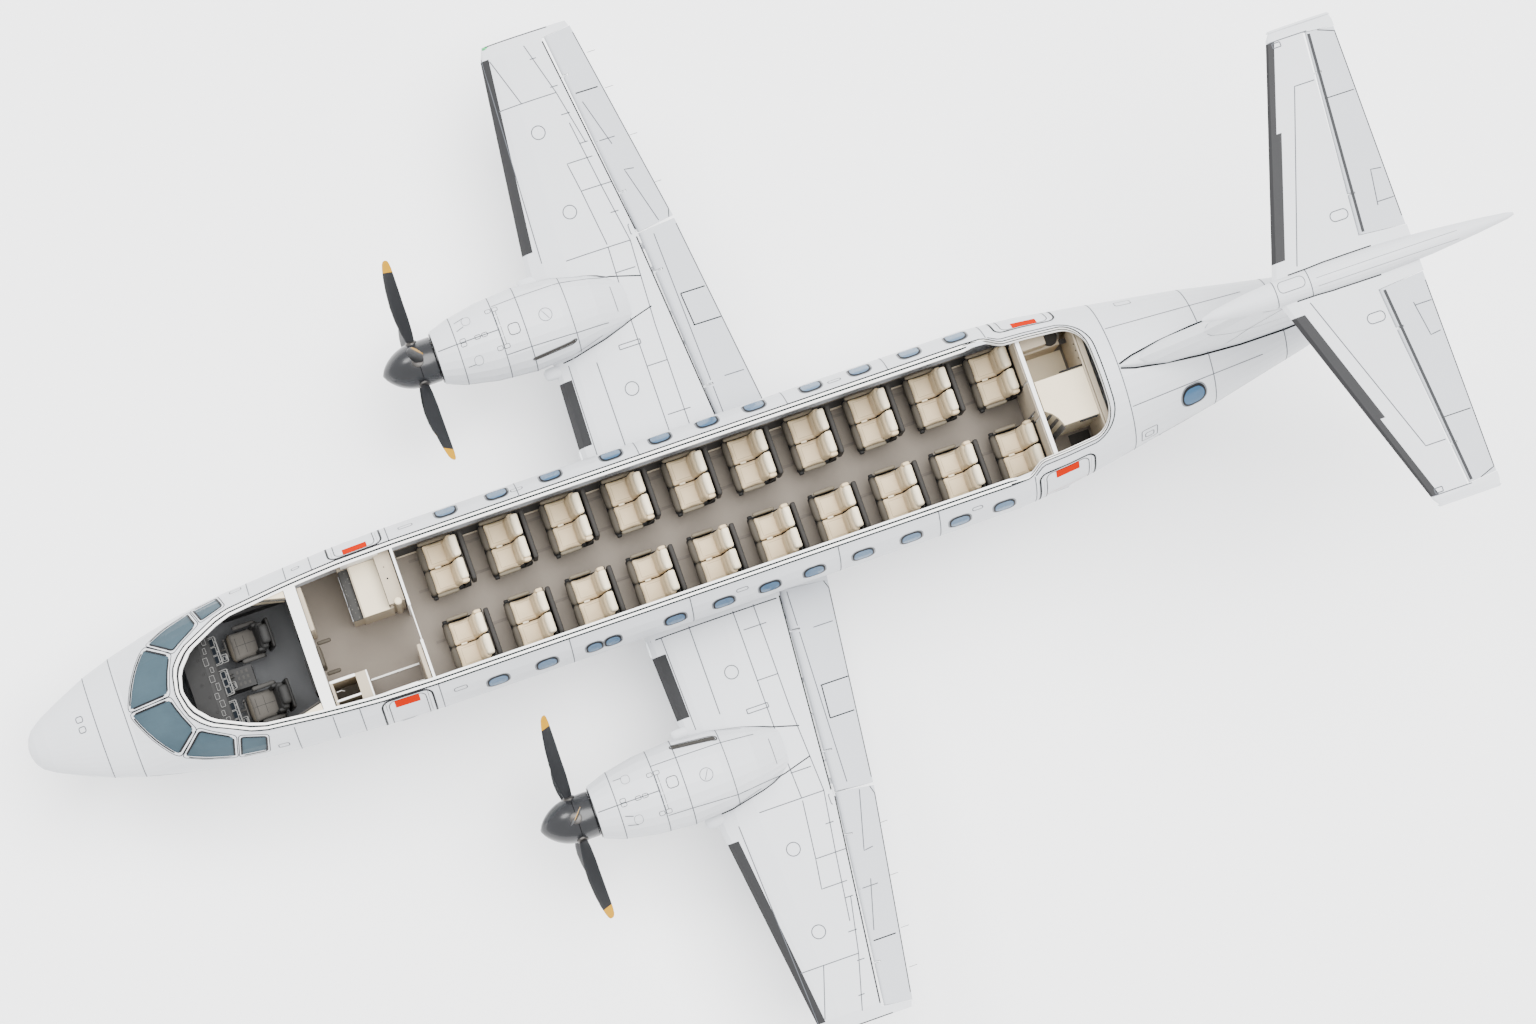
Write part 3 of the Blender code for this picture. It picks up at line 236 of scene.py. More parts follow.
FINISHES = {
    # name: slot, colour as red, green and blue, roughness, options of material()
    "paint": ("white_paint", WHITE, 0.34, dict(patches=0.025)),
    "composite": ("painted_composite", WHITE, 0.38, dict(patches=0.02, scale=2.0)),
    # Flaps, ailerons and elevators: the white paint darkened to grey-blue, as painted shade.
    "shaded_control_paint": ("painted_composite", (0.47, 0.485, 0.51), 0.36, dict(patches=0.03, scale=1.6)),
    "wing_paint": ("white_paint", WHITE, 0.36, dict(patches=0.025, masks=((wing_boot_mask, BOOT),))),
    "tail_paint": ("painted_composite", WHITE, 0.36, dict(patches=0.02, masks=((tail_boot_mask, BOOT),))),
    "rim": ("white_paint", (0.86, 0.85, 0.82), 0.4, dict(patches=0.02)),
    "thin_line": ("white_paint", (0.085, 0.09, 0.10), 0.6, {}),
    "groove": ("charcoal", (0.035, 0.036, 0.038), 0.6, {}),
    "dark_line": ("charcoal", (0.010, 0.0105, 0.012), 0.6, {}),
    "frame_grey": ("grey_metal", (0.15, 0.157, 0.168), 0.35, dict(metallic=0.3)),
    "metal": ("grey_metal", (0.45, 0.46, 0.48), 0.32, dict(metallic=1.0, patches=0.1, scale=9.0)),
    "dark_metal": ("grey_metal", (0.09, 0.085, 0.08), 0.4, dict(metallic=0.9, patches=0.3, scale=6.0)),
    "gear_paint": ("grey_metal", (0.55, 0.56, 0.57), 0.4, dict(patches=0.06, scale=6.0, shine=0.4)),
    "rubber": ("tyre_rubber", (0.018, 0.018, 0.019), 0.78,
               dict(patches=0.25, scale=9.0, grain=("noise", 160.0, 0.001))),
    "spinner": ("charcoal", CHARCOAL, 0.24, dict(patches=0.15, scale=3.0, coat=0.1, shine=0.4)),
    "carpet": ("cabin_carpet", (0.185, 0.160, 0.132), 0.93,
               dict(patches=0.10, scale=2.2, grain=("noise", 420.0, 0.004), sheen=0.1,
                    masks=((cockpit_mask, COCKPIT_FLOOR),))),
    "cream": ("seat_leather", (0.62, 0.49, 0.31), 0.52,
              dict(patches=0.07, scale=7.0, grain=("cells", 190.0, 0.0012))),
    "light_cream": ("seat_leather", (0.82, 0.71, 0.52), 0.5,
                    dict(patches=0.04, scale=7.0, grain=("cells", 190.0, 0.001))),
    "taupe": ("seat_leather", (0.066, 0.057, 0.044), 0.55,
              dict(patches=0.10, scale=7.0, grain=("cells", 170.0, 0.0012))),
    "arm_taupe": ("seat_leather", (0.135, 0.115, 0.083), 0.55,
                  dict(patches=0.10, scale=7.0, grain=("cells", 170.0, 0.0012))),
    "stitch": ("seat_leather", (0.30, 0.235, 0.14), 0.8, {}),
    # Near black: the dark colour of seat frames and rails, darkened further as painted shadow round the
    # seats' bases.
    "shell": ("charcoal", (0.012, 0.0115, 0.011), 0.5,
              dict(patches=0.12, scale=5.0, grain=("noise", 240.0, 0.0006))),
    "slab": ("charcoal", (0.030, 0.028, 0.026), 0.55,
             dict(patches=0.12, scale=5.0, grain=("noise", 240.0, 0.0006))),
    "trim": ("cabin_trim", (0.42, 0.355, 0.265), 0.55,
             dict(patches=0.05, scale=3.0, grain=("noise", 300.0, 0.0005))),
    "worktop": ("cabin_trim", (0.70, 0.60, 0.43), 0.4, dict(patches=0.04, scale=4.0)),
    "scuffed": ("charcoal", (0.032, 0.031, 0.029), 0.5,
                dict(patches=0.3, scale=6.0, masks=((scuff_mask, SCUFF),))),
    "mat": ("cabin_carpet", (0.15, 0.13, 0.11), 0.85,
            dict(patches=0.08, scale=5.0, grain=("noise", 320.0, 0.002))),
    # Near black: painted shade in the intakes, exhaust openings, lavatory recesses and along the cabin
    # floor's edges; also the basin and the cockpit corners' edge tubes.
    "recess_shade_and_dark_trim": ("charcoal", (0.045, 0.042, 0.038), 0.8, dict(patches=0.15, scale=4.0)),
    "pilot_grey": ("pilot_fabric", (0.092, 0.085, 0.075), 0.85,
                   dict(patches=0.12, scale=9.0, grain=("noise", 340.0, 0.002), sheen=0.1)),
    "pilot_mid": ("pilot_fabric", (0.050, 0.048, 0.045), 0.6,
                  dict(patches=0.12, scale=9.0, grain=("noise", 240.0, 0.001))),
    "pilot_dark": ("pilot_fabric", (0.026, 0.0255, 0.025), 0.6,
                   dict(patches=0.15, scale=9.0, grain=("noise", 240.0, 0.001))),
    "panel_grey": ("charcoal", (0.034, 0.0335, 0.033), 0.6,
                   dict(patches=0.12, scale=9.0, grain=("noise", 220.0, 0.0008))),
    "bezel": ("cabin_trim", (0.19, 0.187, 0.18), 0.5, dict(patches=0.08, scale=12.0)),
    "screen": ("window_glass", (0.012, 0.015, 0.019), 0.25, dict(shine=0.3)),
    "orange": ("cabin_trim", (0.42, 0.013, 0.0), 0.45, dict(patches=0.05, scale=9.0, shine=0.0)),
    "window": ("window_glass", (0.034, 0.090, 0.165), 0.16, dict(patches=0.12, scale=3.0, shine=0.2)),
    "red_lens": ("window_glass", (0.6, 0.012, 0.01), 0.12, dict(coat=0.5)),
    "green_lens": ("window_glass", (0.01, 0.33, 0.09), 0.12, dict(coat=0.5)),
    "clear_lens": ("window_glass", (0.75, 0.78, 0.8), 0.08, dict(coat=0.8)),
}
MATERIALS = {name: material(name, colour, roughness, **options)
             for name, (_, colour, roughness, options) in FINISHES.items()}
SLOTS = {name: row[0] for name, row in FINISHES.items()}


def propeller_material(side, name):
    return material(name, CHARCOAL, 0.36, patches=0.12, scale=4.0, grain=("noise", 120.0, 0.0003),
                    masks=((tip_mask(side), TIP_YELLOW),))


def make_glass():
    """The cockpit's panes: blue-grey, glossy and partly seen through."""
    glass = material("cockpit_glass", (0.075, 0.115, 0.140), 0.12, patches=0.3, scale=1.5, shine=0.3)
    shader = glass.node_tree.nodes["Principled BSDF"]
    shader.inputs["Transmission Weight"].default_value = 0.35
    shader.inputs["IOR"].default_value = 1.1
    return glass


MATERIALS["cockpit_glass"] = make_glass()

# The material of each frame node that stays, by the start of its name
NODE_MATERIALS = (
    ("windshield", "cockpit_glass"), ("side_window", "cockpit_glass"), ("rear_window", "cockpit_glass"),
    ("wing_fairing", "composite"), ("wing", "wing_paint"), ("tailplane", "tail_paint"),
    ("tail_bullet", "composite"), ("nose_cone", "composite"),
    ("nose_gear", "gear_paint"), ("main_gear", "gear_paint"),
    ("fin", "composite"), ("rudder", "composite"), ("elevator", "shaded_control_paint"), ("flap", "shaded_control_paint"),
    ("aileron", "shaded_control_paint"),
    ("cabin_floor", "carpet"), ("cockpit_bulkhead", "rim"), ("partition", "rim"),
    ("lavatory_partition", "rim"), ("lavatory_module", "worktop"), ("vanity", "trim"),
    ("rear_bulkhead", "trim"), ("galley", "trim"), ("wardrobe", "trim"),
    ("pedestal", "panel_grey"), ("instrument_panel", "panel_grey"), ("engine", "dark_metal"),
)


def dress_frame():
    for name, node in NODES.items():
        chosen = next((made for start, made in NODE_MATERIALS if name.startswith(start)), "paint")
        for material_slot in node.material_slots:
            material_slot.material = MATERIALS[chosen]


# Meshes

SHARP_DEGREES = 38
TUBE_SIDES = 8


def piece(name, shape, made, body="airframe", keep=None):
    """An object from (points, faces), or from a list of such shapes, that rides on a body."""
    points, faces = joined(*shape) if isinstance(shape, list) else shape
    mesh = bpy.data.meshes.new(name)
    mesh.from_pydata([tuple(point) for point in points], [], faces)
    mesh.validate()
    mesh.materials.append(made if isinstance(made, bpy.types.Material) else MATERIALS[made])
    mesh.shade_smooth()
    mesh.set_sharp_from_angle(angle=radians(SHARP_DEGREES))
    return settle(bpy.data.objects.new(name, mesh), body, keep or SLOTS[made])


def settle(made, body, slot_name):
    """Adds an object to the scene, on its body; the slot name is not used."""
    bpy.context.scene.collection.objects.link(made)
    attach(made, body)
    return made


def joined(*shapes):
    points, faces = [], []
    for shape_points, shape_faces in shapes:
        base = len(points)
        points += list(shape_points)
        faces += [tuple(index + base for index in face) for face in shape_faces]
    return points, faces


def moved(shape, offset=(0, 0, 0), turn=None):
    """A shape turned about the origin by a matrix, then moved."""
    points, faces = shape
    offset = Vector(offset)
    return [(turn @ Vector(point) if turn else Vector(point)) + offset for point in points], faces


def flipped(shape):
    """A shape mirrored to the other side."""
    points, faces = shape
    return [Vector((point[0], -point[1], point[2])) for point in points], [face[::-1] for face in faces]


def full_turn(count):
    """Evenly spread angles all round."""
    return [2 * pi * step / count for step in range(count)]


def tree_of(shape):
    return BVHTree.FromPolygons([tuple(point) for point in shape[0]], shape[1])


def ellipse(x, y, z, half_width, half_height, count):
    """Points round an ellipse across the aircraft."""
    return [(x, y + half_width * cos(angle), z + half_height * sin(angle)) for angle in full_turn(count)]


def both(shape):
    return joined(shape, flipped(shape))


def on_side(shape, side):
    """A shape built for the port side, on either side."""
    return shape if side > 0 else flipped(shape)


def lofted(rings, closed=False, caps=True):
    """Quads between rings of equally many points."""
    count = len(rings[0])
    points = [Vector(point) for ring in rings for point in ring]
    faces = []
    for row in range(len(rings) if closed else len(rings) - 1):
        here, after = row * count, (row + 1) % len(rings) * count
        for step in range(count):
            following = (step + 1) % count
            faces.append((here + step, here + following, after + following, after + step))
    if caps and not closed:
        faces.append(tuple(reversed(range(count))))
        faces.append(tuple(range(len(points) - count, len(points))))
    return points, faces


def revolved(profile, sides=48, closed=False):
    """A profile of (distance along Y, radius) turned about the Y axis."""
    rings = [[(radius * sin(angle), along, radius * cos(angle)) for angle in full_turn(sides)]
             for along, radius in profile]
    return lofted(rings, closed=closed)


def bar(start, end, radius, sides=12):
    """A round bar with slightly bevelled ends."""
    start, end = Vector(start), Vector(end)
    along = (end - start).normalized()
    turned = along.to_track_quat("Z", "Y")
    bevel = radius * 0.25
    rings = []
    for point, size in ((start, radius - bevel), (start + along * bevel, radius),
                        (end - along * bevel, radius), (end, radius - bevel)):
        rings.append([point + turned @ Vector((size * cos(angle), size * sin(angle), 0))
                      for angle in full_turn(sides)])
    return lofted(rings)


def tube(route, radius):
    """A round bar along several points."""
    return joined(*(bar(start, end, radius, TUBE_SIDES) for start, end in zip(route, route[1:])))


def block_grid(counts):
    """Points of a cube's surface from -1 to 1, closer together near its edges, and its faces."""
    places = [[sin(pi / 2 * (2 * step / count - 1)) for step in range(count + 1)] for count in counts]
    points, index, faces = [], {}, []

    def corner(key):
        if key not in index:
            index[key] = len(points)
            points.append(tuple(places[axis][key[axis]] for axis in range(3)))
        return index[key]

    for axis in range(3):
        first, second = (axis + 1) % 3, (axis + 2) % 3
        for end in (0, counts[axis]):
            for i in range(counts[first]):
                for j in range(counts[second]):
                    face = []
                    for step_i, step_j in ((0, 0), (1, 0), (1, 1), (0, 1)):
                        key = [0, 0, 0]
                        key[axis], key[first], key[second] = end, i + step_i, j + step_j
                        face.append(corner(tuple(key)))
                    faces.append(tuple(face) if end else tuple(reversed(face)))
    return points, faces


def cushion(size, radius, crown=0.0, pull=0.0, counts=(10, 10, 5)):
    """A padded block: round edges, a crowned top, and sides that pull in between the corners."""
    grid, faces = block_grid(counts)
    half = Vector(size) / 2
    points = []
    for u, v, w in grid:
        reach = Vector((half.x - pull * (1 - v * v) * abs(u), half.y - pull * (1 - u * u) * abs(v), half.z))
        outer = Vector((u * reach.x, v * reach.y, w * reach.z))
        inner = Vector((max(min(outer[axis], reach[axis] - radius), radius - reach[axis])
                        for axis in range(3)))
        away = outer - inner
        point = inner + away.normalized() * radius if away.length > 1e-9 else outer
        point.z += crown * (1 - u * u) * (1 - v * v) * (w + 1) / 2
        points.append(point)
    return points, faces


def block(low, high, radius=0.01):
    """A rounded box between two corners."""
    low, high = Vector(low), Vector(high)
    size = high - low
    radius = min(radius, min(size) * 0.45)
    return moved(cushion(size, radius, counts=(4, 4, 4)), (low + high) / 2)


def floor_block(low, high, radius):
    """A rounded box with its heights counted from the cabin floor."""
    return block((*low[:2], FLOOR_Z + low[2]), (*high[:2], FLOOR_Z + high[2]), radius)


# Lines and plates on a skin

def skin(*names, extra=((), ())):
    """A search tree of some frame nodes' surfaces, and of one more shape."""
    points, faces = list(extra[0]), list(extra[1])
    for name in names:
        base = len(points)
        mesh = NODES[name].data
        points += [NODES[name].matrix_world @ vertex.co for vertex in mesh.vertices]
        faces += [tuple(index + base for index in polygon.vertices) for polygon in mesh.polygons]
    return BVHTree.FromPolygons(points, faces)


def onto(tree, point, direction):
    """Where a ray first meets a skin, and the skin's normal turned towards the ray's start."""
    place, normal, _, _ = tree.ray_cast(Vector(point), Vector(direction).normalized())
    if place is None:
        return None
    return place, normal if normal.dot(Vector(direction)) < 0 else -normal


def line(tree, route, direction, width=THIN, lift=LIFT):
    """A flat strip on a skin along a route, seen along a direction (or a function of the point)."""
    samples = []
    for start, end in zip(route, route[1:]):
        start, end = Vector(start), Vector(end)
        count = max(int((end - start).length / STEP), 1)
        samples += [start.lerp(end, step / count) for step in range(count)]
    samples.append(Vector(route[-1]))
    aim = direction if callable(direction) else lambda point: direction
    hits = [onto(tree, sample, aim(sample)) for sample in samples]
    points, faces = [], []
    for number, hit in enumerate(hits):
        if hit is None:
            continue
        before = hits[number - 1] if number and hits[number - 1] else hit
        after = hits[number + 1] if number + 1 < len(hits) and hits[number + 1] else hit
        along = after[0] - before[0]
        if along.length < 1e-6:
            continue
        side = hit[1].cross(along.normalized()).normalized() * width / 2
        if points and hits[number - 1] and (hit[0] - hits[number - 1][0]).length < 4 * STEP:
            base = len(points)
            faces.append((base - 2, base - 1, base + 1, base))
        points += [hit[0] + side + hit[1] * lift, hit[0] - side + hit[1] * lift]
    return points, faces


def outline(width, height, radius, steps=5):
    """A rounded rectangle as (across, up) points about its middle."""
    radius = min(radius, width / 2, height / 2)
    points = []
    for corner, (sx, sy) in enumerate(((1, 1), (-1, 1), (-1, -1), (1, -1))):
        for step in range(steps + 1):
            angle = pi / 2 * (corner + step / steps)
            points.append((sx * (width / 2 - radius) + radius * cos(angle),
                           sy * (height / 2 - radius) + radius * sin(angle)))
    return points


PLATE_SHARES = (1.0, 0.8, 0.6, 0.35, 0.02)


def plate(tree, middle, across, up, direction, edge, lift=LIFT):
    """A plate on a skin with an outline."""
    middle, across, up = Vector(middle), Vector(across).normalized(), Vector(up).normalized()

    def place(a, b):
        hit = onto(tree, middle + across * a + up * b, direction)
        return hit[0] + hit[1] * lift if hit else middle

    rings = [[place(a * share, b * share) for a, b in edge] for share in PLATE_SHARES]
    points, faces = lofted(rings, caps=False)
    faces.append(tuple(range(len(points) - len(edge), len(points))))
    return facing(points, faces, -Vector(direction))


def facing(points, faces, out):
    """Turns all faces so that they look outward."""
    turned = []
    for face in faces:
        corners = [points[index] for index in face]
        normal = (corners[1] - corners[0]).cross(corners[2] - corners[1])
        turned.append(face if normal.dot(out) >= 0 else tuple(reversed(face)))
    return points, turned


def contour(tree, middle, across, up, direction, edge, width=THIN, lift=LIFT):
    """A closed line on a skin along an outline."""
    middle, across, up = Vector(middle), Vector(across).normalized(), Vector(up).normalized()
    route = [middle + across * a + up * b for a, b in edge]
    return line(tree, route + route[:1], direction, width, lift)


def top_contour(tree, middle, edge, width=THIN):
    """A closed line on a skin along an outline, seen from above."""
    return contour(tree, middle, FORE, PORT, DOWN, edge, width)


def side_plate(tree, middle, side, edge, lift=LIFT):
    """A plate on a skin, seen from the side."""
    return plate(tree, middle, FORE, UPWARD, inward(side), edge, lift)


def inward(side):
    return (0, -side, 0)


def to_axis(point):
    """From a point towards the cabin's centre line."""
    return Vector((0, -point.y, CENTRE_Z - point.z))


def plan_edge(tree, start, direction, reach, inset=0.0):
    """The last point from a start outward that a part still shows from above, less an inset."""
    start, direction = Vector((*start, 9.0)), Vector((*direction, 0.0))
    low, high = 0.0, reach
    for _ in range(16):
        middle = (low + high) / 2
        shown = tree.ray_cast(start + direction * middle, Vector(DOWN))[0]
        low, high = (middle, high) if shown else (low, middle)
    return start + direction * (low - inset)


def stations(first, last, count=24):
    return [first + (last - first) * step / count for step in range(count + 1)]


HULL = skin("nose_cone", "cockpit_section", "entry_section", "cabin_section", "aft_section", "tail_section",
            "wing_fairing", "service_door", "aft_door_left", "aft_door_right", "entry_door")

# Aft hull sections for what stands above the cut: x, half width, top, waist
AFT_HULL = ((-3.80, 1.425, 1.425, 0.0), (-4.60, 1.35, 1.42, 0.03), (-5.50, 1.20, 1.40, 0.12))


def aft_point(x, angle, inset=0.0):
    """A point on the aft hull at x and at an angle above the waist, on the port side."""
    for front, rear in zip(AFT_HULL, AFT_HULL[1:]):
        if front[0] >= x >= rear[0]:
            share = (front[0] - x) / (front[0] - rear[0])
            half, top, waist = (a + share * (b - a) for a, b in zip(front[1:], rear[1:]))
            return Vector((x, (half - inset) * cos(angle),
                           CENTRE_Z + waist + (top - waist - inset) * sin(angle)))
    raise ValueError("x lies outside the aft hull")


def cut_angle(x):
    """The angle at which the aft hull meets the cut."""
    low, high = 0.0, pi / 2
    for _ in range(30):
        middle = (low + high) / 2
        low, high = (middle, high) if aft_point(x, middle).z < CUT_Z else (low, middle)
    return low


# Where the opening narrows beside the aft doors, and its rounded rear corners
NARROW_START_X = -3.95
NARROW_END_X = -4.25
NARROW_ANGLE = radians(8.5)
CORNER_LENGTH = 0.34
CORNER_ANGLE = radians(24)


def corner_share(x):
    """How far x lies into the opening's rear corners: 0 at their front, 1 at the rear ring."""
    return min(max((REAR_RING_X + CORNER_LENGTH - x) / CORNER_LENGTH, 0.0), 1.0)


def rim_angle(x):
    """The angle of the opening's edge on the aft hull."""
    share = min(max((NARROW_START_X - x) / (NARROW_START_X - NARROW_END_X), 0.0), 1.0)
    narrow = NARROW_ANGLE * share * share * (3 - 2 * share)
    past = corner_share(x)
    return cut_angle(x) + narrow + CORNER_ANGLE * (1 - sqrt(max(1 - past * past, 0.0)))


def aft_stations():
    straight = [NARROW_START_X - 0.06 * step for step in range(19)]
    corner = [REAR_RING_X + CORNER_LENGTH * (1 - sin(pi / 2 * step / 10)) for step in range(11)]
    return straight + [x for x in corner if x < straight[-1] - 0.01]


def make_coaming():
    """The skin between the cut and the opening's edge, beside the aft doors."""
    rings = []
    for x in aft_stations():
        low, high = cut_angle(x), rim_angle(x) + 0.001
        outer = [aft_point(x, low + (high - low) * step / 6) for step in range(7)]
        inner = [aft_point(x, high - (high - low) * step / 6, 0.055) for step in range(7)]
        rings.append(outer + inner)
    shape = both(lofted(rings))
    piece("aft_coaming", shape, "paint")
    make_rim_border(skin("tail_section", "aft_section", "aft_door_left", "aft_door_right", extra=shape))


BORDER_REAR = 0.075
BORDER_ANGLE = 0.055


def make_rim_border(tree):
    """A dark line round the rear of the opening, a little outside its edge."""
    route = [aft_point(REAR_RING_X - BORDER_REAR, pi / 2 + (rim_angle(REAR_RING_X) - pi / 2) * number / 14)
             for number in range(14)]
    for x in reversed(aft_stations()):
        lean = corner_share(x)
        route.append(aft_point(x - BORDER_REAR * lean, rim_angle(x) - BORDER_ANGLE * (1 - lean)))
    route = [point - to_axis(point).normalized() * 0.4 for point in route]
    piece("opening_border", both(line(tree, route, to_axis, 0.020, 0.004)), "dark_line")


def rim_pairs():
    """Outer and inner points of the opening's edge, from the rear on the port side to the nose's middle."""
    pairs = []
    for number in range(12):
        angle = pi / 2 + (rim_angle(REAR_RING_X) - pi / 2) * number / 12
        pairs.append((aft_point(REAR_RING_X, angle), aft_point(REAR_RING_X, angle, 0.06), FORE))
    for x in reversed(aft_stations()):
        lean = corner_share(x)
        up = Vector((lean, 0, 1.0 - lean * 0.9)).normalized()
        pairs.append((aft_point(x, rim_angle(x)), aft_point(x, rim_angle(x), 0.055), up))
    x = NARROW_START_X + 0.3
    while x < 8.3:
        outer = onto(HULL, (x, 3, CUT_Z - 0.004), (0, -1, 0))[0]
        inner = onto(HULL, (x, 0.0, CUT_Z - 0.004), (0, 1, 0))
        pairs.append((outer, inner[0] if inner else outer - Vector((0, 0.08, 0)), UPWARD))
        x += 0.3 if x < 7.0 else 0.12
    for step in range(13):
        turn = radians(55 + 35 * step / 12)
        aim = Vector((sin(turn), cos(turn), 0))
        start = Vector((7.85, 0, CUT_Z - 0.004))
        outer = onto(HULL, start + aim * 3, -aim)[0]
        inner = onto(HULL, start, aim)[0]
        if outer.x > pairs[-1][0].x + 0.03 or step == 12:
            pairs.append((outer, inner, UPWARD))
    return pairs


# The rim's section: share of the way from its outer to its inner edge, and height
RIM_SECTION = ((0.0, -0.010), (0.03, 0.010), (0.49, 0.013), (0.52, 0.001), (0.83, 0.001), (0.86, 0.013),
               (1.32, 0.010), (1.35, -0.045))
GROOVE_SECTION = ((0.525, 0.0), (0.525, 0.010), (0.825, 0.010), (0.825, 0.0))


def make_rim():
    """The white double edge all round the opening."""
    rim, groove, seam = [], [], []
    for outer, inner, up in rim_pairs():
        up = Vector(up).normalized()
        rim.append([outer.lerp(inner, share) + up * height for share, height in RIM_SECTION])
        groove.append([outer.lerp(inner, share) + up * height for share, height in GROOVE_SECTION])
        away = (outer - inner).normalized() * 0.020
        seam.append([outer + away - up * 0.004, outer + away + up * 0.006, outer - away + up * 0.011])
    for name, rings, made in (("rim", rim, "rim"), ("groove", groove, "dark_line"),
                              ("seam", seam, "dark_line")):
        starboard = [[Vector((p.x, -p.y, p.z)) for p in ring] for ring in reversed(rings[:-1])]
        piece(f"opening_{name}", lofted(rings + starboard[:-1], closed=True), made)


# Hull details

# Frame, gasket and pane: what each adds to a window's length, height and corner radius, and its height over
# the skin
WINDOW_LAYERS = ((0.075, 0.075, 0.03, 0.003), (0.030, 0.040, 0.012, 0.006), (-0.020, -0.024, 0, 0.009))
# Cabin windows on each side: height of their middle over the centre line, length and height
WINDOW_SIZES = {1: (0.46, 0.31, 0.27), -1: (0.56, 0.31, 0.33)}
CABIN_WINDOWS = {
    1: (4.53, 3.76, 3.01, 2.72, 1.73, 0.96, 0.23, -0.48, -1.26, -2.03, -2.81, -3.52),
    -1: (4.46, 3.65, 2.80, 1.84, 1.06, 0.31, -0.44, -1.34, -2.12, -2.92, -3.66),
}


def window_shapes(x, z, side, width, height, radius):
    """Frame, gasket and pane of one window on the skin."""
    return [side_plate(HULL, (x, side * BESIDE, z), side,
                       outline(width + longer, height + higher, radius + rounder), lift)
            for longer, higher, rounder, lift in WINDOW_LAYERS]


def make_cabin_windows():
    """The cabin's windows on both sides, and the larger one behind the port aft door."""
    places = []
    for side, row in CABIN_WINDOWS.items():
        height_over, length, height = WINDOW_SIZES[side]
        for x in row:
            shown = length if min(abs(x - other) for other in row if other != x) > 0.4 else 0.235
            places.append((x, CENTRE_Z + height_over, side, shown, height, 0.10))
    places.append((-6.72, CENTRE_Z + 0.98, 1, 0.36, 0.27, 0.13))
    frames, gaskets, panes = zip(*(window_shapes(*place) for place in places))
    piece("window_frames", list(frames), "frame_grey")
    piece("window_gaskets", list(gaskets), "dark_line")
    piece("window_panes", list(panes), "window")


# Doors: node, body, rear x, front x, side
DOORS = (
    ("entry_door", "entry_door", 5.58, 6.24, 1),
    ("service_door", "airframe", 5.56, 6.28, -1),
    ("aft_door_left", "airframe", -4.97, -4.18, 1),
    ("aft_door_right", "airframe", -5.09, -4.28, -1),
)
DOOR_SILL_Z = FLOOR_Z - 0.07


def door_outline(tree, rear, front, low, high, radius, side, width):
    """A rounded rectangle on a skin, seen from the side."""
    middle = ((rear + front) / 2, side * BESIDE, (low + high) / 2)
    return contour(tree, middle, FORE, UPWARD, inward(side), outline(front - rear, high - low, radius), width)


def make_door_details():
    for node, body, rear, front, side in DOORS:
        low, high = DOOR_SILL_Z, CUT_Z - 0.035
        door = skin(node)
        frame_line = door_outline(HULL, rear - 0.06, front + 0.06, low - 0.05, high, 0.13, side, BOLD)
        piece(node + "_frame_line", frame_line, "dark_line")
        edge_line = door_outline(door, rear + 0.045, front - 0.045, low + 0.10, high - 0.035, 0.10, side,
                                 0.014)
        piece(node + "_edge_line", edge_line, "dark_line", body)
        middle = (rear + front) / 2
        label = side_plate(door, (middle, side * BESIDE, CENTRE_Z + 0.735), side, outline(0.38, 0.15, 0.01),
                           0.004)
        piece(node + "_label", label, "orange", body)
        handle_place = (middle + 0.06, side * BESIDE, CENTRE_Z - 0.02)
        recess = side_plate(door, handle_place, side, outline(0.26, 0.11, 0.03), 0.003)
        piece(node + "_handle_recess", recess, "frame_grey", body)
        hit = onto(door, handle_place, inward(side))[0]
        half_grip = Vector((0.10, 0.012, 0.016))
        grip = block(hit - half_grip, hit + half_grip, 0.01)
        piece(node + "_handle", grip, "metal", body)
    red = line(HULL, [(x, BESIDE, CENTRE_Z + 0.22) for x in (-4.93, -4.22)], inward(1), 0.014)
    piece("aft_door_left_stripe", red, "orange")


# Rings round the hull with their step in degrees, and lines along it: height above the centre and both ends
HULL_RINGS = (10.40, 9.95, 7.62, 7.03, 6.62, 5.40, 3.35, 1.45, -0.90, -2.50, -4.05)
TAIL_RINGS = (-5.72, -7.08, -8.30)
# Behind this x the hull is open above, and a ring leaves the opening out
CABIN_FRONT_X = 9.0
RING_STEP = 2.25
HULL_LINES = ((-0.22, 9.9, -3.9), (-0.75, 9.0, -3.9))
# Lines on the flanks that rise or fall: x and height above the centre of both ends
SLOPED_LINES = (((-5.5, 0.25), (-9.9, 0.75)), ((11.0, -0.55), (9.98, -0.40)))

# Small hatches on the hull: x, distance from the middle or None, height or None, side, length, height
HATCHES = (
    (10.62, 0.18, None, -1, 0.10, 0.09), (10.62, 0.02, None, -1, 0.10, 0.09),
    (7.85, None, 0.42, 1, 0.16, 0.10), (7.80, None, 0.42, -1, 0.18, 0.12),
    (6.85, None, 0.62, -1, 0.12, 0.08), (5.1, None, 0.62, -1, 0.22, 0.09), (5.1, None, 0.62, 1, 0.20, 0.09),
    (3.35, None, 0.66, -1, 0.18, 0.08), (0.65, None, 0.66, 1, 0.18, 0.07), (-1.7, None, 0.66, -1, 0.20, 0.07),
    (-3.1, None, 0.66, 1, 0.16, 0.07), (-5.95, None, 0.62, 1, 0.26, 0.30), (-5.95, None, 0.62, 1, 0.14, 0.12),
    (-6.2, None, 0.75, -1, 0.24, 0.14), (8.9, None, -0.35, 1, 0.30, 0.24), (8.3, None, -0.5, -1, 0.34, 0.28),
    (2.6, None, -0.55, -1, 0.9, 0.42), (-3.2, None, -0.5, -1, 0.95, 0.60), (-6.4, None, 0.1, 1, 0.5, 0.4),
)


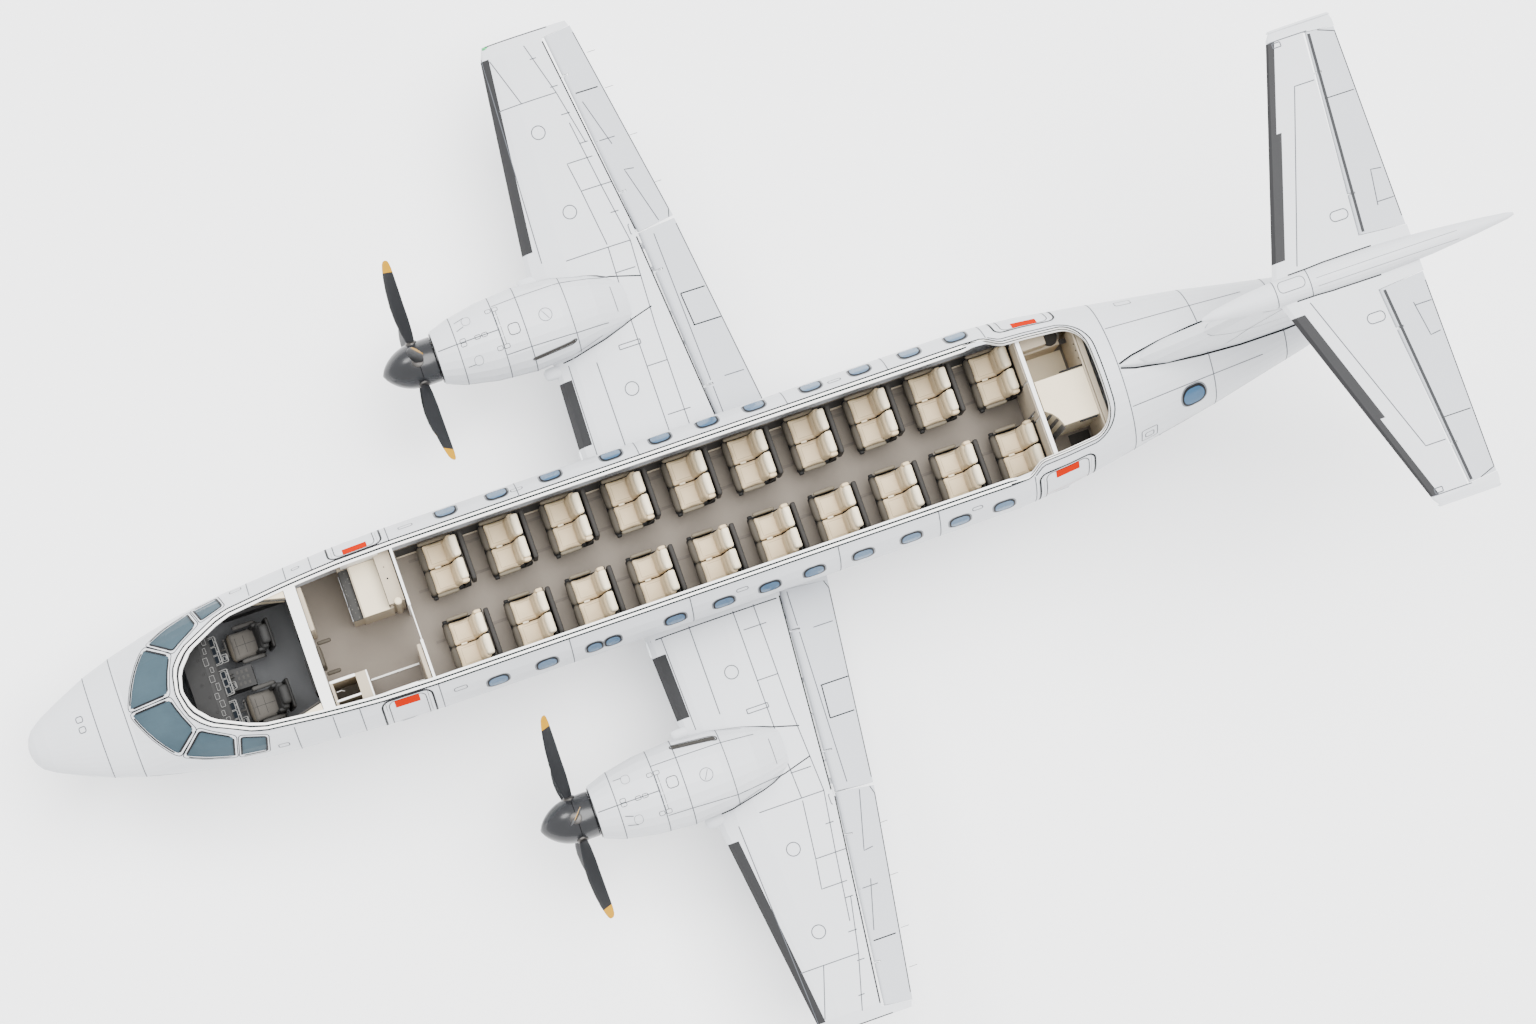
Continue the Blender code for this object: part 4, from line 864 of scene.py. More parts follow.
def laid_ring(x, low, high):
    """A line round the hull at x between two angles, 90 degrees being the top."""
    steps = max(int((high - low) / RING_STEP), 2)
    points = []
    for step in range(steps + 1):
        angle = radians(low + (high - low) * step / steps)
        start = Vector((x, 3 * cos(angle), CENTRE_Z + 3 * sin(angle)))
        hit = onto(HULL, start, to_axis(start))
        if hit is None:
            return [], []
        points += [hit[0] + Vector((shift, 0, 0)) + hit[1] * LIFT for shift in (-THIN / 2, THIN / 2)]
    return points, [(base, base + 1, base + 3, base + 2) for base in range(0, 2 * steps, 2)]


def make_hull_lines():
    """Rings, long lines and hatches on the hull."""
    shapes = [laid_ring(x, -218, 38) if x < CABIN_FRONT_X else laid_ring(x, -180, 180) for x in HULL_RINGS]
    shapes += [laid_ring(x, -180, 180) for x in TAIL_RINGS]
    for height, front, rear in HULL_LINES:
        for side in (1, -1):
            z = CENTRE_Z + height
            shapes.append(line(HULL, [(front, side * BESIDE, z), (rear, side * BESIDE, z)], inward(side)))
    for side in (1, -1):
        shapes.append(line(HULL, [(-5.75, side * 0.62, OVER_HULL), (-7.9, side * 0.50, OVER_HULL)], DOWN))
        for route in SLOPED_LINES:
            route = [(x, side * BESIDE, CENTRE_Z + height) for x, height in route]
            shapes.append(line(HULL, route, inward(side)))
    for x, y, z, side, width, height in HATCHES:
        start = (x, side * BESIDE, CENTRE_Z + z) if y is None else (x, side * y, OVER_HULL)
        aim = inward(side) if y is None else DOWN
        up = UPWARD if y is None else PORT
        shapes.append(contour(HULL, start, FORE, up, aim, outline(width, height, 0.03)))
    piece("hull_lines", shapes, "thin_line")


# How much of each side a pane's rounded corner takes up
PANE_ROUNDING = 0.12
# Cockpit windows: corners as x, distance from the middle and height, port side
PANES = (
    ((9.84, 0.05, 0.30), (9.36, 0.80, 0.34), (9.03, 0.56, 0.76), (9.22, 0.05, 0.76)),
    ((9.27, 0.87, 0.34), (8.60, 1.10, 0.33), (8.52, 0.86, 0.76), (8.94, 0.62, 0.76)),
    ((8.48, 1.13, 0.34), (8.12, 1.18, 0.36), (8.06, 1.00, 0.72), (8.40, 0.92, 0.75)),
)


def grown(corners, grow):
    middle = sum((Vector(corner) for corner in corners), Vector()) / len(corners)
    return [Vector(corner) + (Vector(corner) - middle).normalized() * grow for corner in corners]


def rounded_route(corners):
    """A closed route through four corners, each of them rounded."""
    route = []
    for before, corner, after in zip(corners[-1:] + corners[:-1], corners, corners[1:] + corners[:1]):
        first, second = corner.lerp(before, PANE_ROUNDING), corner.lerp(after, PANE_ROUNDING)
        for step in range(5):
            t = step / 4
            route.append(first.lerp(corner, t).lerp(corner.lerp(second, t), t))
    return route + route[:1]


def make_cockpit_frames():
    """Gaskets and outer frame lines round the cockpit's panes."""
    shell = skin("cockpit_section")
    gaskets, frames = [], []
    for corners in PANES:
        rear, low, front, high = (Vector(corner) for corner in corners)
        across = (front - rear).cross(high - low).normalized()
        out = across if across.z > 0 else -across
        for store, grow, width in ((gaskets, 0.018, 0.030), (frames, 0.080, 0.014)):
            route = [point + Vector((0, 0, CENTRE_Z)) + out * 0.4
                     for point in rounded_route(grown(corners, grow))]
            store.append(line(shell, route, -out, width, 0.003))
    piece("pane_gaskets", both(joined(*gaskets)), "dark_line")
    piece("pane_frames", both(joined(*frames)), "dark_line")


def make_hull_fittings():
    """Two blade antennas and a beacon below the hull."""
    antennas = []
    for x, low, high in ((4.6, 1.30, 1.04), (-3.0, 1.32, 1.08)):
        rings = [[(x + forward * size, y * size * 0.5, z) for forward, y in
                  ((0.12, 0.0), (0.03, 0.035), (-0.14, 0.0), (0.03, -0.035))]
                 for z, size in ((low, 1.0), (high, 0.55))]
        antennas.append(lofted(rings))
    piece("belly_antennas", antennas, "paint")
    beacon = moved(revolved(((0.0, 0.055), (0.03, 0.05), (0.06, 0.03), (0.07, 0.004)), 24), (-0.6, 0, 1.185),
                   AXIS_DOWN)
    piece("belly_beacon", beacon, "red_lens")


# Fairing on the tail in front of the fin: x, half width, top height and middle height above the centre
DORSAL = (
    (-5.74, 0.01, 1.41, 1.39), (-5.95, 0.075, 1.46, 1.37), (-6.40, 0.15, 1.52, 1.34),
    (-6.95, 0.21, 1.55, 1.31), (-7.60, 0.245, 1.55, 1.26), (-8.30, 0.24, 1.50, 1.18),
    (-9.00, 0.20, 1.40, 1.08), (-9.50, 0.15, 1.30, 1.0),
)


def make_dorsal():
    """The fairing ahead of the fin, and the dark line along its foot."""
    rings = []
    for x, half, top, middle in DORSAL:
        rings.append(ellipse(x, 0, CENTRE_Z + middle, half, top - middle, 28))
    piece("dorsal_fairing", lofted(rings), "composite")
    edges = [line(HULL, [(x, side * (half + 0.022), OVER_HULL) for x, half, _, _ in DORSAL], DOWN, 0.030)
             for side in (1, -1)]
    piece("dorsal_edge", edges, "dark_line")


# Wing details on the port wing, seen from above: routes of (x, distance out)

WING_THIN = (
    ((1.66, 7.80), (1.80, 4.55)), ((1.92, 2.95), (1.95, 1.45)), ((1.66, 6.95), (0.74, 6.95)),
    ((0.98, 7.78), (0.74, 6.95), (0.56, 6.10)), ((0.53, 5.86), (0.94, 5.86), (0.87, 5.40), (0.38, 5.40)),
    ((0.87, 5.40), (0.76, 4.50)), ((1.44, 4.46), (0.40, 4.46)), ((0.70, 6.45), (0.55, 5.40), (0.40, 4.46)),
    ((0.76, 4.46), (0.79, 3.60), (0.79, 1.42)), ((0.40, 4.46), (0.46, 3.12), (0.46, 1.42)),
    ((0.73, 1.75), (0.36, 1.75)), ((0.86, 7.55), (0.96, 7.55)), ((0.68, 7.05), (0.80, 7.05)),
    ((1.50, 1.42), (1.50, 2.85)), ((1.55, 7.72), (1.30, 6.95)), ((0.78, 6.60), (0.64, 6.60)),
    ((0.66, 6.10), (0.52, 6.10)), ((0.55, 4.95), (0.42, 4.95)), ((0.79, 4.05), (0.46, 4.05)),
    ((0.79, 2.55), (0.46, 2.55)),
)
FLAP_THIN = (((0.02, 4.45), (-0.02, 3.40), (-0.10, 1.40)), ((-0.30, 2.05), (-0.62, 2.05)))
FLAP_BOLD = (
    ((-0.07, 3.45), (-0.52, 3.45)), ((-0.10, 2.93), (-0.60, 2.93)),
    ((-0.07, 3.45), (-0.115, 2.93)),
)
AILERON_THIN = (((0.40, 6.70), (0.18, 5.95)), ((0.45, 6.05), (0.10, 6.05)),
                ((-0.02, 5.50), (0.13, 5.52), (-0.12, 4.62)))
AILERON_BOLD = (((0.46, 6.85), (0.10, 6.85)),)
WING_CAPS = ((1.20, 6.45), (1.14, 5.15), (1.12, 2.30))
CAP_RADIUS = 0.105
# Rise of the wing and forward slope of its rear edge, per metre outward
WING_RISE = 0.105
REAR_SLOPE = 0.145


def top_route(route, side):
    return [(x, side * y, OVER_WING) for x, y in route]


def top_lines(tree, routes, side, width=THIN):
    """Lines on a skin along routes seen from above."""
    return [line(tree, top_route(route, side), DOWN, width) for route in routes]


def make_wing_details():
    for side, name in SIDES:
        wing, flap, aileron = (skin(f"{part}_{name}") for part in ("wing", "flap", "aileron"))
        thin = top_lines(wing, WING_THIN, side)
        thin += [line(wing, [(x, side * y, UNDER_WING) for x, y in route], UPWARD) for route in WING_THIN[:7]]
        circle = outline(2 * CAP_RADIUS, 2 * CAP_RADIUS, CAP_RADIUS, 6)
        for x, y in WING_CAPS:
            thin.append(top_contour(wing, (x, side * y, OVER_WING), circle))
        thin.append(top_contour(wing, (0.93, side * 2.95, OVER_WING), outline(0.34, 0.07, 0.01)))
        thin.append(top_contour(wing, (0.30, side * 4.62, OVER_WING), outline(0.12, 0.16, 0.02)))
        piece(f"wing_{name}_lines", thin, "thin_line")
        for part, tree, rows in (("flap", flap, FLAP_THIN), ("aileron", aileron, AILERON_THIN)):
            piece(f"{part}_{name}_lines", top_lines(tree, rows, side), "thin_line", f"{part}_{name}")
        for part, tree, rows, (near, far) in (("flap", flap, FLAP_BOLD, (1.42, 4.50)),
                                              ("aileron", aileron, AILERON_BOLD, (4.62, 7.76))):
            shapes = top_lines(tree, rows, side, 0.020)
            rear = [plan_edge(tree, (REAR_SLOPE * (y - 4.3), side * y), (-1, 0), 1.0, 0.010)
                    for y in stations(near, far)]
            shapes.append(line(tree, rear, DOWN, 0.014))
            piece(f"{part}_{name}_splits", shapes, "dark_line", f"{part}_{name}")
        make_wing_edges(side, name, wing)
        make_wing_fittings(side, name, wing)


def make_wing_edges(side, name, wing):
    """Dark joints along the wing's rear edge and tip, and where it meets the hull and the nacelle."""
    cowl, middle = skin(f"nacelle_{name}"), side * NACELLE_Y
    hinge = [plan_edge(wing, (0.75, side * y), (-1, 0), 1.5, 0.012) for y in stations(1.42, 7.76, 60)]
    tip = [plan_edge(wing, (x, side * 7.5), (0, side), 0.8, 0.012) for x in stations(1.55, 0.55)]
    root = [(x, side * 1.445, OVER_WING) for x in stations(2.12, -0.10)]
    shapes = [line(wing, hinge, DOWN, 0.022), line(wing, tip, DOWN, 0.016), line(wing, root, DOWN, 0.018)]
    for out in (1, -1):
        edge = [plan_edge(cowl, (x, middle), (0, out), 0.9, -0.009) for x in stations(1.98, 0.42)]
        shapes.append(line(wing, edge, DOWN, 0.020))
    piece(f"wing_{name}_joints", shapes, "dark_line")


def make_wing_fittings(side, name, wing):
    """Tip light, landing light, static wicks, track fairings under the flap and bumps by the nacelle."""
    lens = "red_lens" if side > 0 else "green_lens"
    place = (1.50, side * 7.94, 2.36)
    light = moved(cushion((0.20, 0.05, 0.05), 0.024, counts=(6, 4, 4)), place)
    piece(f"tip_light_{name}", light, lens)
    edge = onto(wing, (4, side * 1.55, 1.68), (-1, 0, 0))
    lamp = moved(cushion((0.03, 0.26, 0.08), 0.014, counts=(4, 6, 4)), edge[0])
    piece(f"landing_light_{name}", lamp, "clear_lens")
    wicks = []
    for y in (5.2, 6.0, 6.8, 7.4):
        rear = 0.012 + (y - 4.56) * REAR_SLOPE - 0.36
        wicks.append(bar((rear + 0.02, side * y, 1.99 + (y - 4.5) * WING_RISE),
                         (rear - 0.11, side * y, 1.985 + (y - 4.5) * WING_RISE), 0.004, 6))
    piece(f"static_wicks_{name}", wicks, "dark_line", f"aileron_{name}")
    tracks = []
    for y in (1.75, 2.75, 4.35):
        rings = []
        for share, size in ((0.0, 0.02), (0.12, 0.55), (0.35, 0.95), (0.6, 1.0), (0.85, 0.6), (1.0, 0.04)):
            x = 0.62 - 0.70 * share
            z = 1.60 + (y - 1.3) * WING_RISE - 0.045 * size
            rings.append(ellipse(x, side * y, z, 0.05 * size, 0.075 * size, 14))
        tracks.append(lofted(rings))
    piece(f"flap_tracks_{name}", tracks, "paint")
    bumps = []
    for y in (NACELLE_Y + 0.70, NACELLE_Y - 0.72):
        hit = onto(wing, (4, side * y, 1.66 + (y - 1.3) * WING_RISE), (-1, 0, 0))[0]
        bump = cushion((0.42, 0.20, 0.17), 0.084, counts=(10, 8, 8))
        bumps.append(moved(bump, hit + Vector((-0.02, 0, 0.0))))
    piece(f"edge_bumps_{name}", bumps, "paint")


# Nacelle details, seen from above: routes of (x, distance out of the nacelle's middle), outboard positive

NACELLE_RINGS = (3.46, 2.80, 2.40, 1.68, 0.95)
INTAKE_Z = 1.93
NACELLE_THIN = (
    ((3.76, 0.03), (2.80, 0.03)), ((2.78, 0.42), (1.68, 0.46), (0.95, 0.38)),
    ((2.80, -0.36), (2.34, -0.36), (1.69, -0.36), (1.15, -0.33)),
    ((3.40, 0.36), (3.24, 0.40)), ((3.40, 0.22), (3.28, 0.26)), ((3.40, -0.34), (3.28, -0.34)),
)
LATCHES = ((2.86, 0.36), (2.75, 0.36), (2.86, -0.24), (2.75, -0.24), (3.36, 0.05), (3.36, -0.01),
           (3.13, 0.03), (3.02, 0.03))


def to_nacelle(side):
    middle = Vector((0, side * NACELLE_Y, PROPELLER_Z))
    return lambda point: Vector((0, middle.y - point.y, middle.z - point.z))


def nacelle_ring(tree, x, side):
    aim = to_nacelle(side)
    route = [Vector((x, side * NACELLE_Y + 2 * cos(angle), PROPELLER_Z + 2 * sin(angle)))
             for angle in (radians(-20 + 220 * step / 40) for step in range(41))]
    return line(tree, route, aim)


def make_nacelle_details():
    for side, name in SIDES:
        cowl = skin(f"nacelle_{name}")
        middle = side * NACELLE_Y
        shapes = [nacelle_ring(cowl, x, side) for x in NACELLE_RINGS]

        def spot(x, y):
            return x, middle + side * y, OVER_COWL

        def above(route, width=THIN):
            return line(cowl, [spot(*point) for point in route], DOWN, width)

        shapes += [above(route) for route in NACELLE_THIN]
        for z in (2.35, 1.95):
            for out in (1, -1):
                flank = [(x, middle + out * 1.5, z) for x in (3.7, 1.3)]
                shapes.append(line(cowl, flank, (0, -out, 0)))
        piece(f"nacelle_{name}_lines", shapes, "thin_line")
        marks = [top_contour(cowl, spot(*place), outline(0.085, 0.06, 0.02), 0.009) for place in LATCHES]
        marks.append(top_contour(cowl, spot(2.57, -0.03), outline(0.17, 0.17, 0.05), 0.012))
        marks += [above(((x, 0.33), (x, -0.21)), 0.008) for x in (2.79, 2.75)]
        piece(f"nacelle_{name}_latches", marks, "dark_line")
        cap = [top_contour(cowl, spot(2.05, 0.03), outline(0.20, 0.20, 0.10, 6), 0.010),
               above(((2.09, 0.10), (2.01, -0.04)), 0.010)]
        cap += [top_contour(cowl, spot(3.22, y), outline(0.13, 0.13, 0.05), 0.007) for y in (0.33, -0.30)]
        piece(f"nacelle_{name}_caps", cap, "thin_line")
        make_engine_fittings(side, name, cowl)


def make_engine_fittings(side, name, cowl):
    """Front ring behind the spinner, chin intake, and the exhaust on the inboard flank."""
    middle = side * NACELLE_Y
    ring = moved(revolved(((0.0, 0.10), (0.0, 0.375), (0.008, 0.39), (0.018, 0.39), (0.022, 0.37),
                           (0.022, 0.10)), 48),
                 (3.789, middle, PROPELLER_Z), AXIS_FORE)
    piece(f"front_ring_{name}", ring, "spinner")
    lips = [ellipse(x, middle, INTAKE_Z, 0.24 * size, 0.10 * size, 36)
            for size, x in ((1.0, 3.70), (1.03, 3.80), (0.97, 3.835), (0.86, 3.81), (0.82, 3.66))]
    piece(f"intake_lip_{name}", lofted(lips), "metal")
    # The intake's back is a flat dark plate: painted shade of the duct behind the lip.
    back = ellipse(3.70, middle, INTAKE_Z, 0.205, 0.082, 36)
    piece(f"intake_{name}", lofted([back, [(x + 0.02, y, z) for x, y, z in back]]), "recess_shade_and_dark_trim")
    aim = (0, side, -0.6)
    start = Vector((2.07, middle - side * 1.2, 2.42 + 0.7))
    slot_edge = outline(0.68, 0.075, 0.037)
    # The exhaust's opening is a dark plate on the cowl: painted shade of the hole.
    piece(f"exhaust_{name}", plate(cowl, start, (1, 0, 0.03), (0, 0.5, 1), aim, slot_edge, 0.006),
          "recess_shade_and_dark_trim")
    lip = contour(cowl, start, (1, 0, 0.03), (0, 0.5, 1), aim, outline(0.72, 0.10, 0.05), 0.022, 0.008)
    piece(f"exhaust_lip_{name}", lip, "dark_metal")


# Propellers

BLADE = (
    # radius, chord, pitch in degrees, thickness as a share of the chord, sweep
    (0.20, 0.11, 66.0, 0.55, 0.00), (0.34, 0.13, 62.0, 0.40, 0.00), (0.50, 0.20, 58.0, 0.16, 0.012),
    (0.72, 0.255, 54.0, 0.11, 0.025), (0.95, 0.275, 50.0, 0.09, 0.032), (1.20, 0.270, 46.0, 0.075, 0.022),
    (1.40, 0.245, 43.0, 0.065, 0.004), (1.55, 0.205, 41.0, 0.06, -0.018), (1.63, 0.160, 40.0, 0.06, -0.030),
    (1.665, 0.110, 39.0, 0.06, -0.038), (1.678, 0.050, 39.0, 0.06, -0.042),
)
BLADE_COUNT = 5
SECTION_STEPS = 9


def blade_section(chord, thickness):
    """A thin lens with a round leading edge."""
    upper, lower = [], []
    for step in range(SECTION_STEPS + 1):
        share = (1 - cos(pi * step / SECTION_STEPS)) / 2
        half = thickness * chord * (1.48 * sqrt(share) - 0.63 * share - 1.76 * share ** 2 + 1.42 * share ** 3
                                    - 0.51 * share ** 4)
        upper.append((chord / 2 - share * chord, half))
        lower.append((chord / 2 - share * chord, -half))
    return upper[::-1] + lower[1:-1]


def blade_shape(turn):
    rings = []
    for radius, chord, pitch, thickness, sweep in BLADE:
        angle = radians(pitch)
        ring = []
        for x, z in blade_section(chord, thickness):
            across = x + sweep
            ring.append(Vector((across * sin(angle) + z * cos(angle), across * cos(angle) - z * sin(angle),
                                radius)))
        rings.append(ring)
    return moved(lofted(rings), turn=Matrix.Rotation(turn, 3, "X"))


def make_propellers():
    """Spinner, hub and blades, each propeller as two pieces that turn with it."""
    turns = full_turn(BLADE_COUNT)
    profile = []
    for step in range(15):
        share = min(step / 14, 0.993)
        profile.append((-share * 0.57, 0.35 * (1 - share ** 2.1) ** 0.72))
    cone = moved(revolved(profile, 56), turn=AXIS_AFT)
    hub = moved(revolved(((0.0, 0.345), (-0.012, 0.352), (-0.26, 0.352), (-0.268, 0.34)), 56), (-0.27, 0, 0),
                AXIS_AFT)
    collars = [moved(revolved(((0.30, 0.095), (0.362, 0.09), (0.372, 0.075)), 24), (0.0, 0, 0),
                     Matrix.Rotation(turn, 3, "X") @ AXIS_UP) for turn in turns]
    for side, name in SIDES:
        centre = Vector((BLADE_X, side * NACELLE_Y, PROPELLER_Z))
        finish = propeller_material(side, f"blade_finish_{name}")
        shapes = on_side(joined(*(blade_shape(turn) for turn in turns)), side)
        blades = piece(f"blades_{name}", moved(shapes, centre), finish, f"propeller_{name}", keep="charcoal")
        nose = moved(joined(cone, hub), centre - Vector((0.01, 0, 0)))
        spinner = piece(f"spinner_{name}", nose, "spinner", f"propeller_{name}")
        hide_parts(f"propeller_{name}")
        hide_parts(f"propeller_{name}")
        rings = moved(on_side(joined(*collars), side), centre)
        piece(f"blade_collars_{name}", rings, "dark_metal", f"propeller_{name}")


# Tail details, seen from above: routes of (x, distance out)

TAILPLANE_THIN = (((-8.22, 0.28), (-9.10, 2.78), (-9.46, 2.78)), ((-8.90, 3.50), (-9.55, 3.50)))
ELEVATOR_THIN = (((-9.90, 1.26), (-9.74, 1.28), (-9.66, 0.75)), ((-9.66, 0.80), (-9.98, 0.80)))
ELEVATOR_BOLD = (((-9.46, 2.47), (-9.97, 2.47)),)
BULLET_RINGS = (-7.78, -8.30)
BULLET_Z = 6.7


def make_tail_details():
    """Lines, caps and joints of the tailplane, fin and rudder."""
    plane, bullet, fin, rudder = (skin(name) for name in ("tailplane", "tail_bullet", "fin", "rudder"))
    thin = []
    for side, name in SIDES:
        elevator = skin(f"elevator_{name}")
        thin += top_lines(plane, TAILPLANE_THIN, side)
        thin.append(top_contour(plane, (-9.06, side * 0.79, OVER_WING), outline(0.27, 0.15, 0.07)))
        thin.append(top_contour(plane, (-9.06, side * 3.44, OVER_WING), outline(0.12, 0.07, 0.01)))
        groove = line(elevator, top_route(((-9.315, 0.45), (-9.565, 3.45)), side), DOWN, 0.045, 0.002)
        piece(f"elevator_groove_{name}", groove, "groove", f"elevator_{name}")
        piece(f"elevator_{name}_lines", top_lines(elevator, ELEVATOR_THIN, side), "thin_line",
              f"elevator_{name}")
        piece(f"elevator_{name}_split", top_lines(elevator, ELEVATOR_BOLD, side, 0.014), "dark_line",
              f"elevator_{name}")
        rear = [plan_edge(elevator, (-9.62, side * y), (-1, 0), 0.9, 0.010) for y in stations(0.5, 3.5)]
        piece(f"elevator_{name}_edge", line(elevator, rear, DOWN, 0.014), "dark_line", f"elevator_{name}")
        root = [plan_edge(bullet, (x, 0.0), (0, side), 0.6, -0.009) for x in stations(-8.05, -9.35)]
        piece(f"tailplane_{name}_joint", line(plane, root, DOWN, 0.020), "dark_line")
        cap = []
        for y, size in ((3.640, 1.0), (3.672, 0.93)):
            cap.append([(-9.47 + 0.50 * size * cos(angle), side * y, BULLET_Z + 0.045 * size * sin(angle))
                        for angle in full_turn(32)])
        piece(f"tailplane_cap_{name}", lofted(cap), "composite")
    for x in BULLET_RINGS:
        route = [Vector((x, cos(2 * pi * step / 40), BULLET_Z + sin(2 * pi * step / 40)))
                 for step in range(41)]
        thin.append(line(bullet, route, lambda point: Vector((0, -point.y, BULLET_Z - point.z)), 0.014))
    for height in (0.10, -0.02):
        thin.append(line(bullet, [(-8.4, height, OVER_WING), (-10.6, height, OVER_WING)], DOWN, 0.006))
    thin.append(top_contour(bullet, (-8.03, -0.05, OVER_WING), outline(0.40, 0.17, 0.07), 0.011))
    for side, name in SIDES:
        aim = inward(side)
        for route in (((-7.0, 4.9), (-9.5, 4.9)), ((-7.7, 5.9), (-9.75, 5.9)), ((-7.35, 4.3), (-8.25, 6.4))):
            thin.append(line(fin, [(x, side * 2, z) for x, z in route], aim))
        for route in (((-9.9, 5.1), (-10.35, 5.1)), ((-10.12, 4.2), (-10.28, 5.1))):
            shape = line(rudder, [(x, side * 2, z) for x, z in route], aim)
            piece(f"rudder_line_{name}_{int(-route[0][0] * 10)}", shape, "thin_line", "rudder")
    piece("tail_lines", thin, "thin_line")


# Landing gear

TYRE_PROFILE = (
    # distance from the wheel's middle as a share of the half width, and share of the radius
    (0.55, 0.56), (0.80, 0.60), (0.97, 0.72), (1.00, 0.82), (0.93, 0.91), (0.78, 0.965), (0.62, 0.985),
    (0.58, 0.955), (0.52, 0.955), (0.48, 0.992), (0.22, 1.0), (0.18, 0.965), (0.12, 0.965), (0.08, 1.0),
)
RIM_PROFILE = ((0.56, 0.58), (0.60, 0.55), (0.50, 0.50), (0.28, 0.46), (0.24, 0.22), (0.40, 0.18),
               (0.40, 0.02))


def wheel_shapes(radius, width, offset):
    """Tyre, rim and bolts of one wheel about its axle, on the side of the given offset."""
    half = width / 2
    profile = [(share * half, size * radius) for share, size in TYRE_PROFILE]
    profile += [(-across, size) for across, size in reversed(profile)]
    tyre = moved(revolved(profile, 64, closed=True), (0, offset, 0))
    rims, bolts = [], []
    for side in (1, -1):
        rim = revolved([(side * share * half, size * radius) for share, size in RIM_PROFILE], 48)
        rims.append(moved(rim, (0, offset, 0)))
        for angle in full_turn(8):
            x, z = 0.36 * radius * cos(angle), 0.36 * radius * sin(angle)
            start = (x, offset + side * half * 0.24, z)
            bolts.append(bar(start, (x, offset + side * half * 0.36, z), radius * 0.035, 6))
    return tyre, joined(*rims), joined(*bolts)


# Wheels: name, leg x, leg y, tyre radius, width, distance of each tyre from the leg
WHEELS = (
    ("nose_wheels", NOSE_LEG_X, 0.0, 0.32, 0.20, 0.20),
    ("main_wheels_left", MAIN_LEG_X, MAIN_LEG_Y, 0.45, 0.28, 0.25),
    ("main_wheels_right", MAIN_LEG_X, -MAIN_LEG_Y, 0.45, 0.28, 0.25),
)


def make_wheel_details():
    for name, x, y, radius, width, offset in WHEELS:
        axle = Vector((x, y, radius * cos(pi / 20)))
        pair = [wheel_shapes(radius * cos(pi / 20), width, side * offset) for side in (1, -1)]
        tyres, rims, bolts = (list(shapes) for shapes in zip(*pair))
        rims.append(bar((0, -offset, 0), (0, offset, 0), 0.05 * radius / 0.4, 20))
        shown = piece(name + "_tyres", moved(joined(*tyres), axle), "rubber", name)
        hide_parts(name)
        piece(name + "_rims", moved(joined(*rims), axle), "metal", name)
        piece(name + "_bolts", moved(joined(*bolts), axle), "dark_metal", name)


def torque_link(x, y, low_z, high_z, reach, body_low, body_high, name):
    """Two links that meet behind the leg."""
    knee = Vector((x - reach, y, (low_z + high_z) / 2))
    for label, z, body in (("lower", low_z, body_low), ("upper", high_z, body_high)):
        root = Vector((x - 0.05, y, z))
        arms = [bar(root + PORT * side * 0.05, knee + PORT * side * 0.022, 0.014) for side in (1, -1)]
        pin = bar(knee + Vector((0, -0.05, 0)), knee + Vector((0, 0.05, 0)), 0.013)
        piece(f"{name}_{label}_link", joined(*arms, pin), "metal", body)


# Bay doors in side view
MAIN_DOOR = ((1.30, 1.66), (0.05, 1.66), (0.10, 1.18), (1.22, 1.18))
NOSE_DOOR = ((9.85, 1.56), (8.62, 1.46), (8.70, 1.12), (9.78, 1.20))


def bay_doors(edge, middle, apart, thickness):
    """Two plates on edge, one on each side of a leg."""
    return [lofted([[(x, middle + out * (apart + lean), z) for x, z in edge] for lean in (0.0, thickness)])
            for out in (1, -1)]


def make_gear_details():
    """Torque links, bay doors and the taxi light."""
    torque_link(NOSE_LEG_X, 0.0, 0.52, 1.10, 0.20, "nose_steering", "airframe", "nose")
    for side, name in SIDES:
        leg_y = side * MAIN_LEG_Y
        torque_link(MAIN_LEG_X, leg_y, 0.66, 1.18, 0.22, "airframe", "airframe", f"main_{name}")
        piece(f"main_gear_doors_{name}", bay_doors(MAIN_DOOR, leg_y, 0.36, 0.02), "paint")
    piece("nose_gear_doors", bay_doors(NOSE_DOOR, 0.0, 0.20, 0.018), "paint")
    lamp = moved(revolved(((0.0, 0.02), (0.03, 0.065), (0.05, 0.07), (0.055, 0.06)), 24), (9.44, 0, 1.15),
                 AXIS_FORE)
    piece("taxi_light", lamp, "clear_lens")


# Padded fabric, blown up as cloth. What lies by a sewn route, and the side a pad rests on, stay in place.

CLOTH_LAST_FRAME = 20
CLOTH_PRESSURE = 4.0
CLOTH_SHRINK = 0.96
SMOOTHING_ROUNDS = 4
# How far a face's normal must agree with the resting side, and turn from it, in swollen()
RESTING = 0.75
TURNED_OUT = -0.4
# Reach of a sewn line, as a share of a cell
SEWN_REACH = 0.6
# Width of a seam's line and its height over the fabric
STITCH = 0.006
STITCH_LIFT = 0.001


def extent(points):
    """The lowest and highest x, y and z of some points."""
    low = Vector([min(point[axis] for point in points) for axis in range(3)])
    high = Vector([max(point[axis] for point in points) for axis in range(3)])
    return low, high


def evaluated(made):
    """The points and faces of an object with its modifiers."""
    seen = made.evaluated_get(bpy.context.evaluated_depsgraph_get())
    mesh = seen.to_mesh()
    shape = [vertex.co.copy() for vertex in mesh.vertices], [tuple(face.vertices) for face in mesh.polygons]
    seen.to_mesh_clear()
    return shape


def cloth_object(shape):
    """An object for a step of the simulation."""
    mesh = bpy.data.meshes.new("cloth")
    mesh.from_pydata([tuple(point) for point in shape[0]], [], [tuple(face) for face in shape[1]])
    mesh.update()
    made = bpy.data.objects.new("cloth", mesh)
    bpy.context.scene.collection.objects.link(made)
    return made


def discard(made):
    mesh = made.data
    bpy.data.objects.remove(made)
    bpy.data.meshes.remove(mesh)


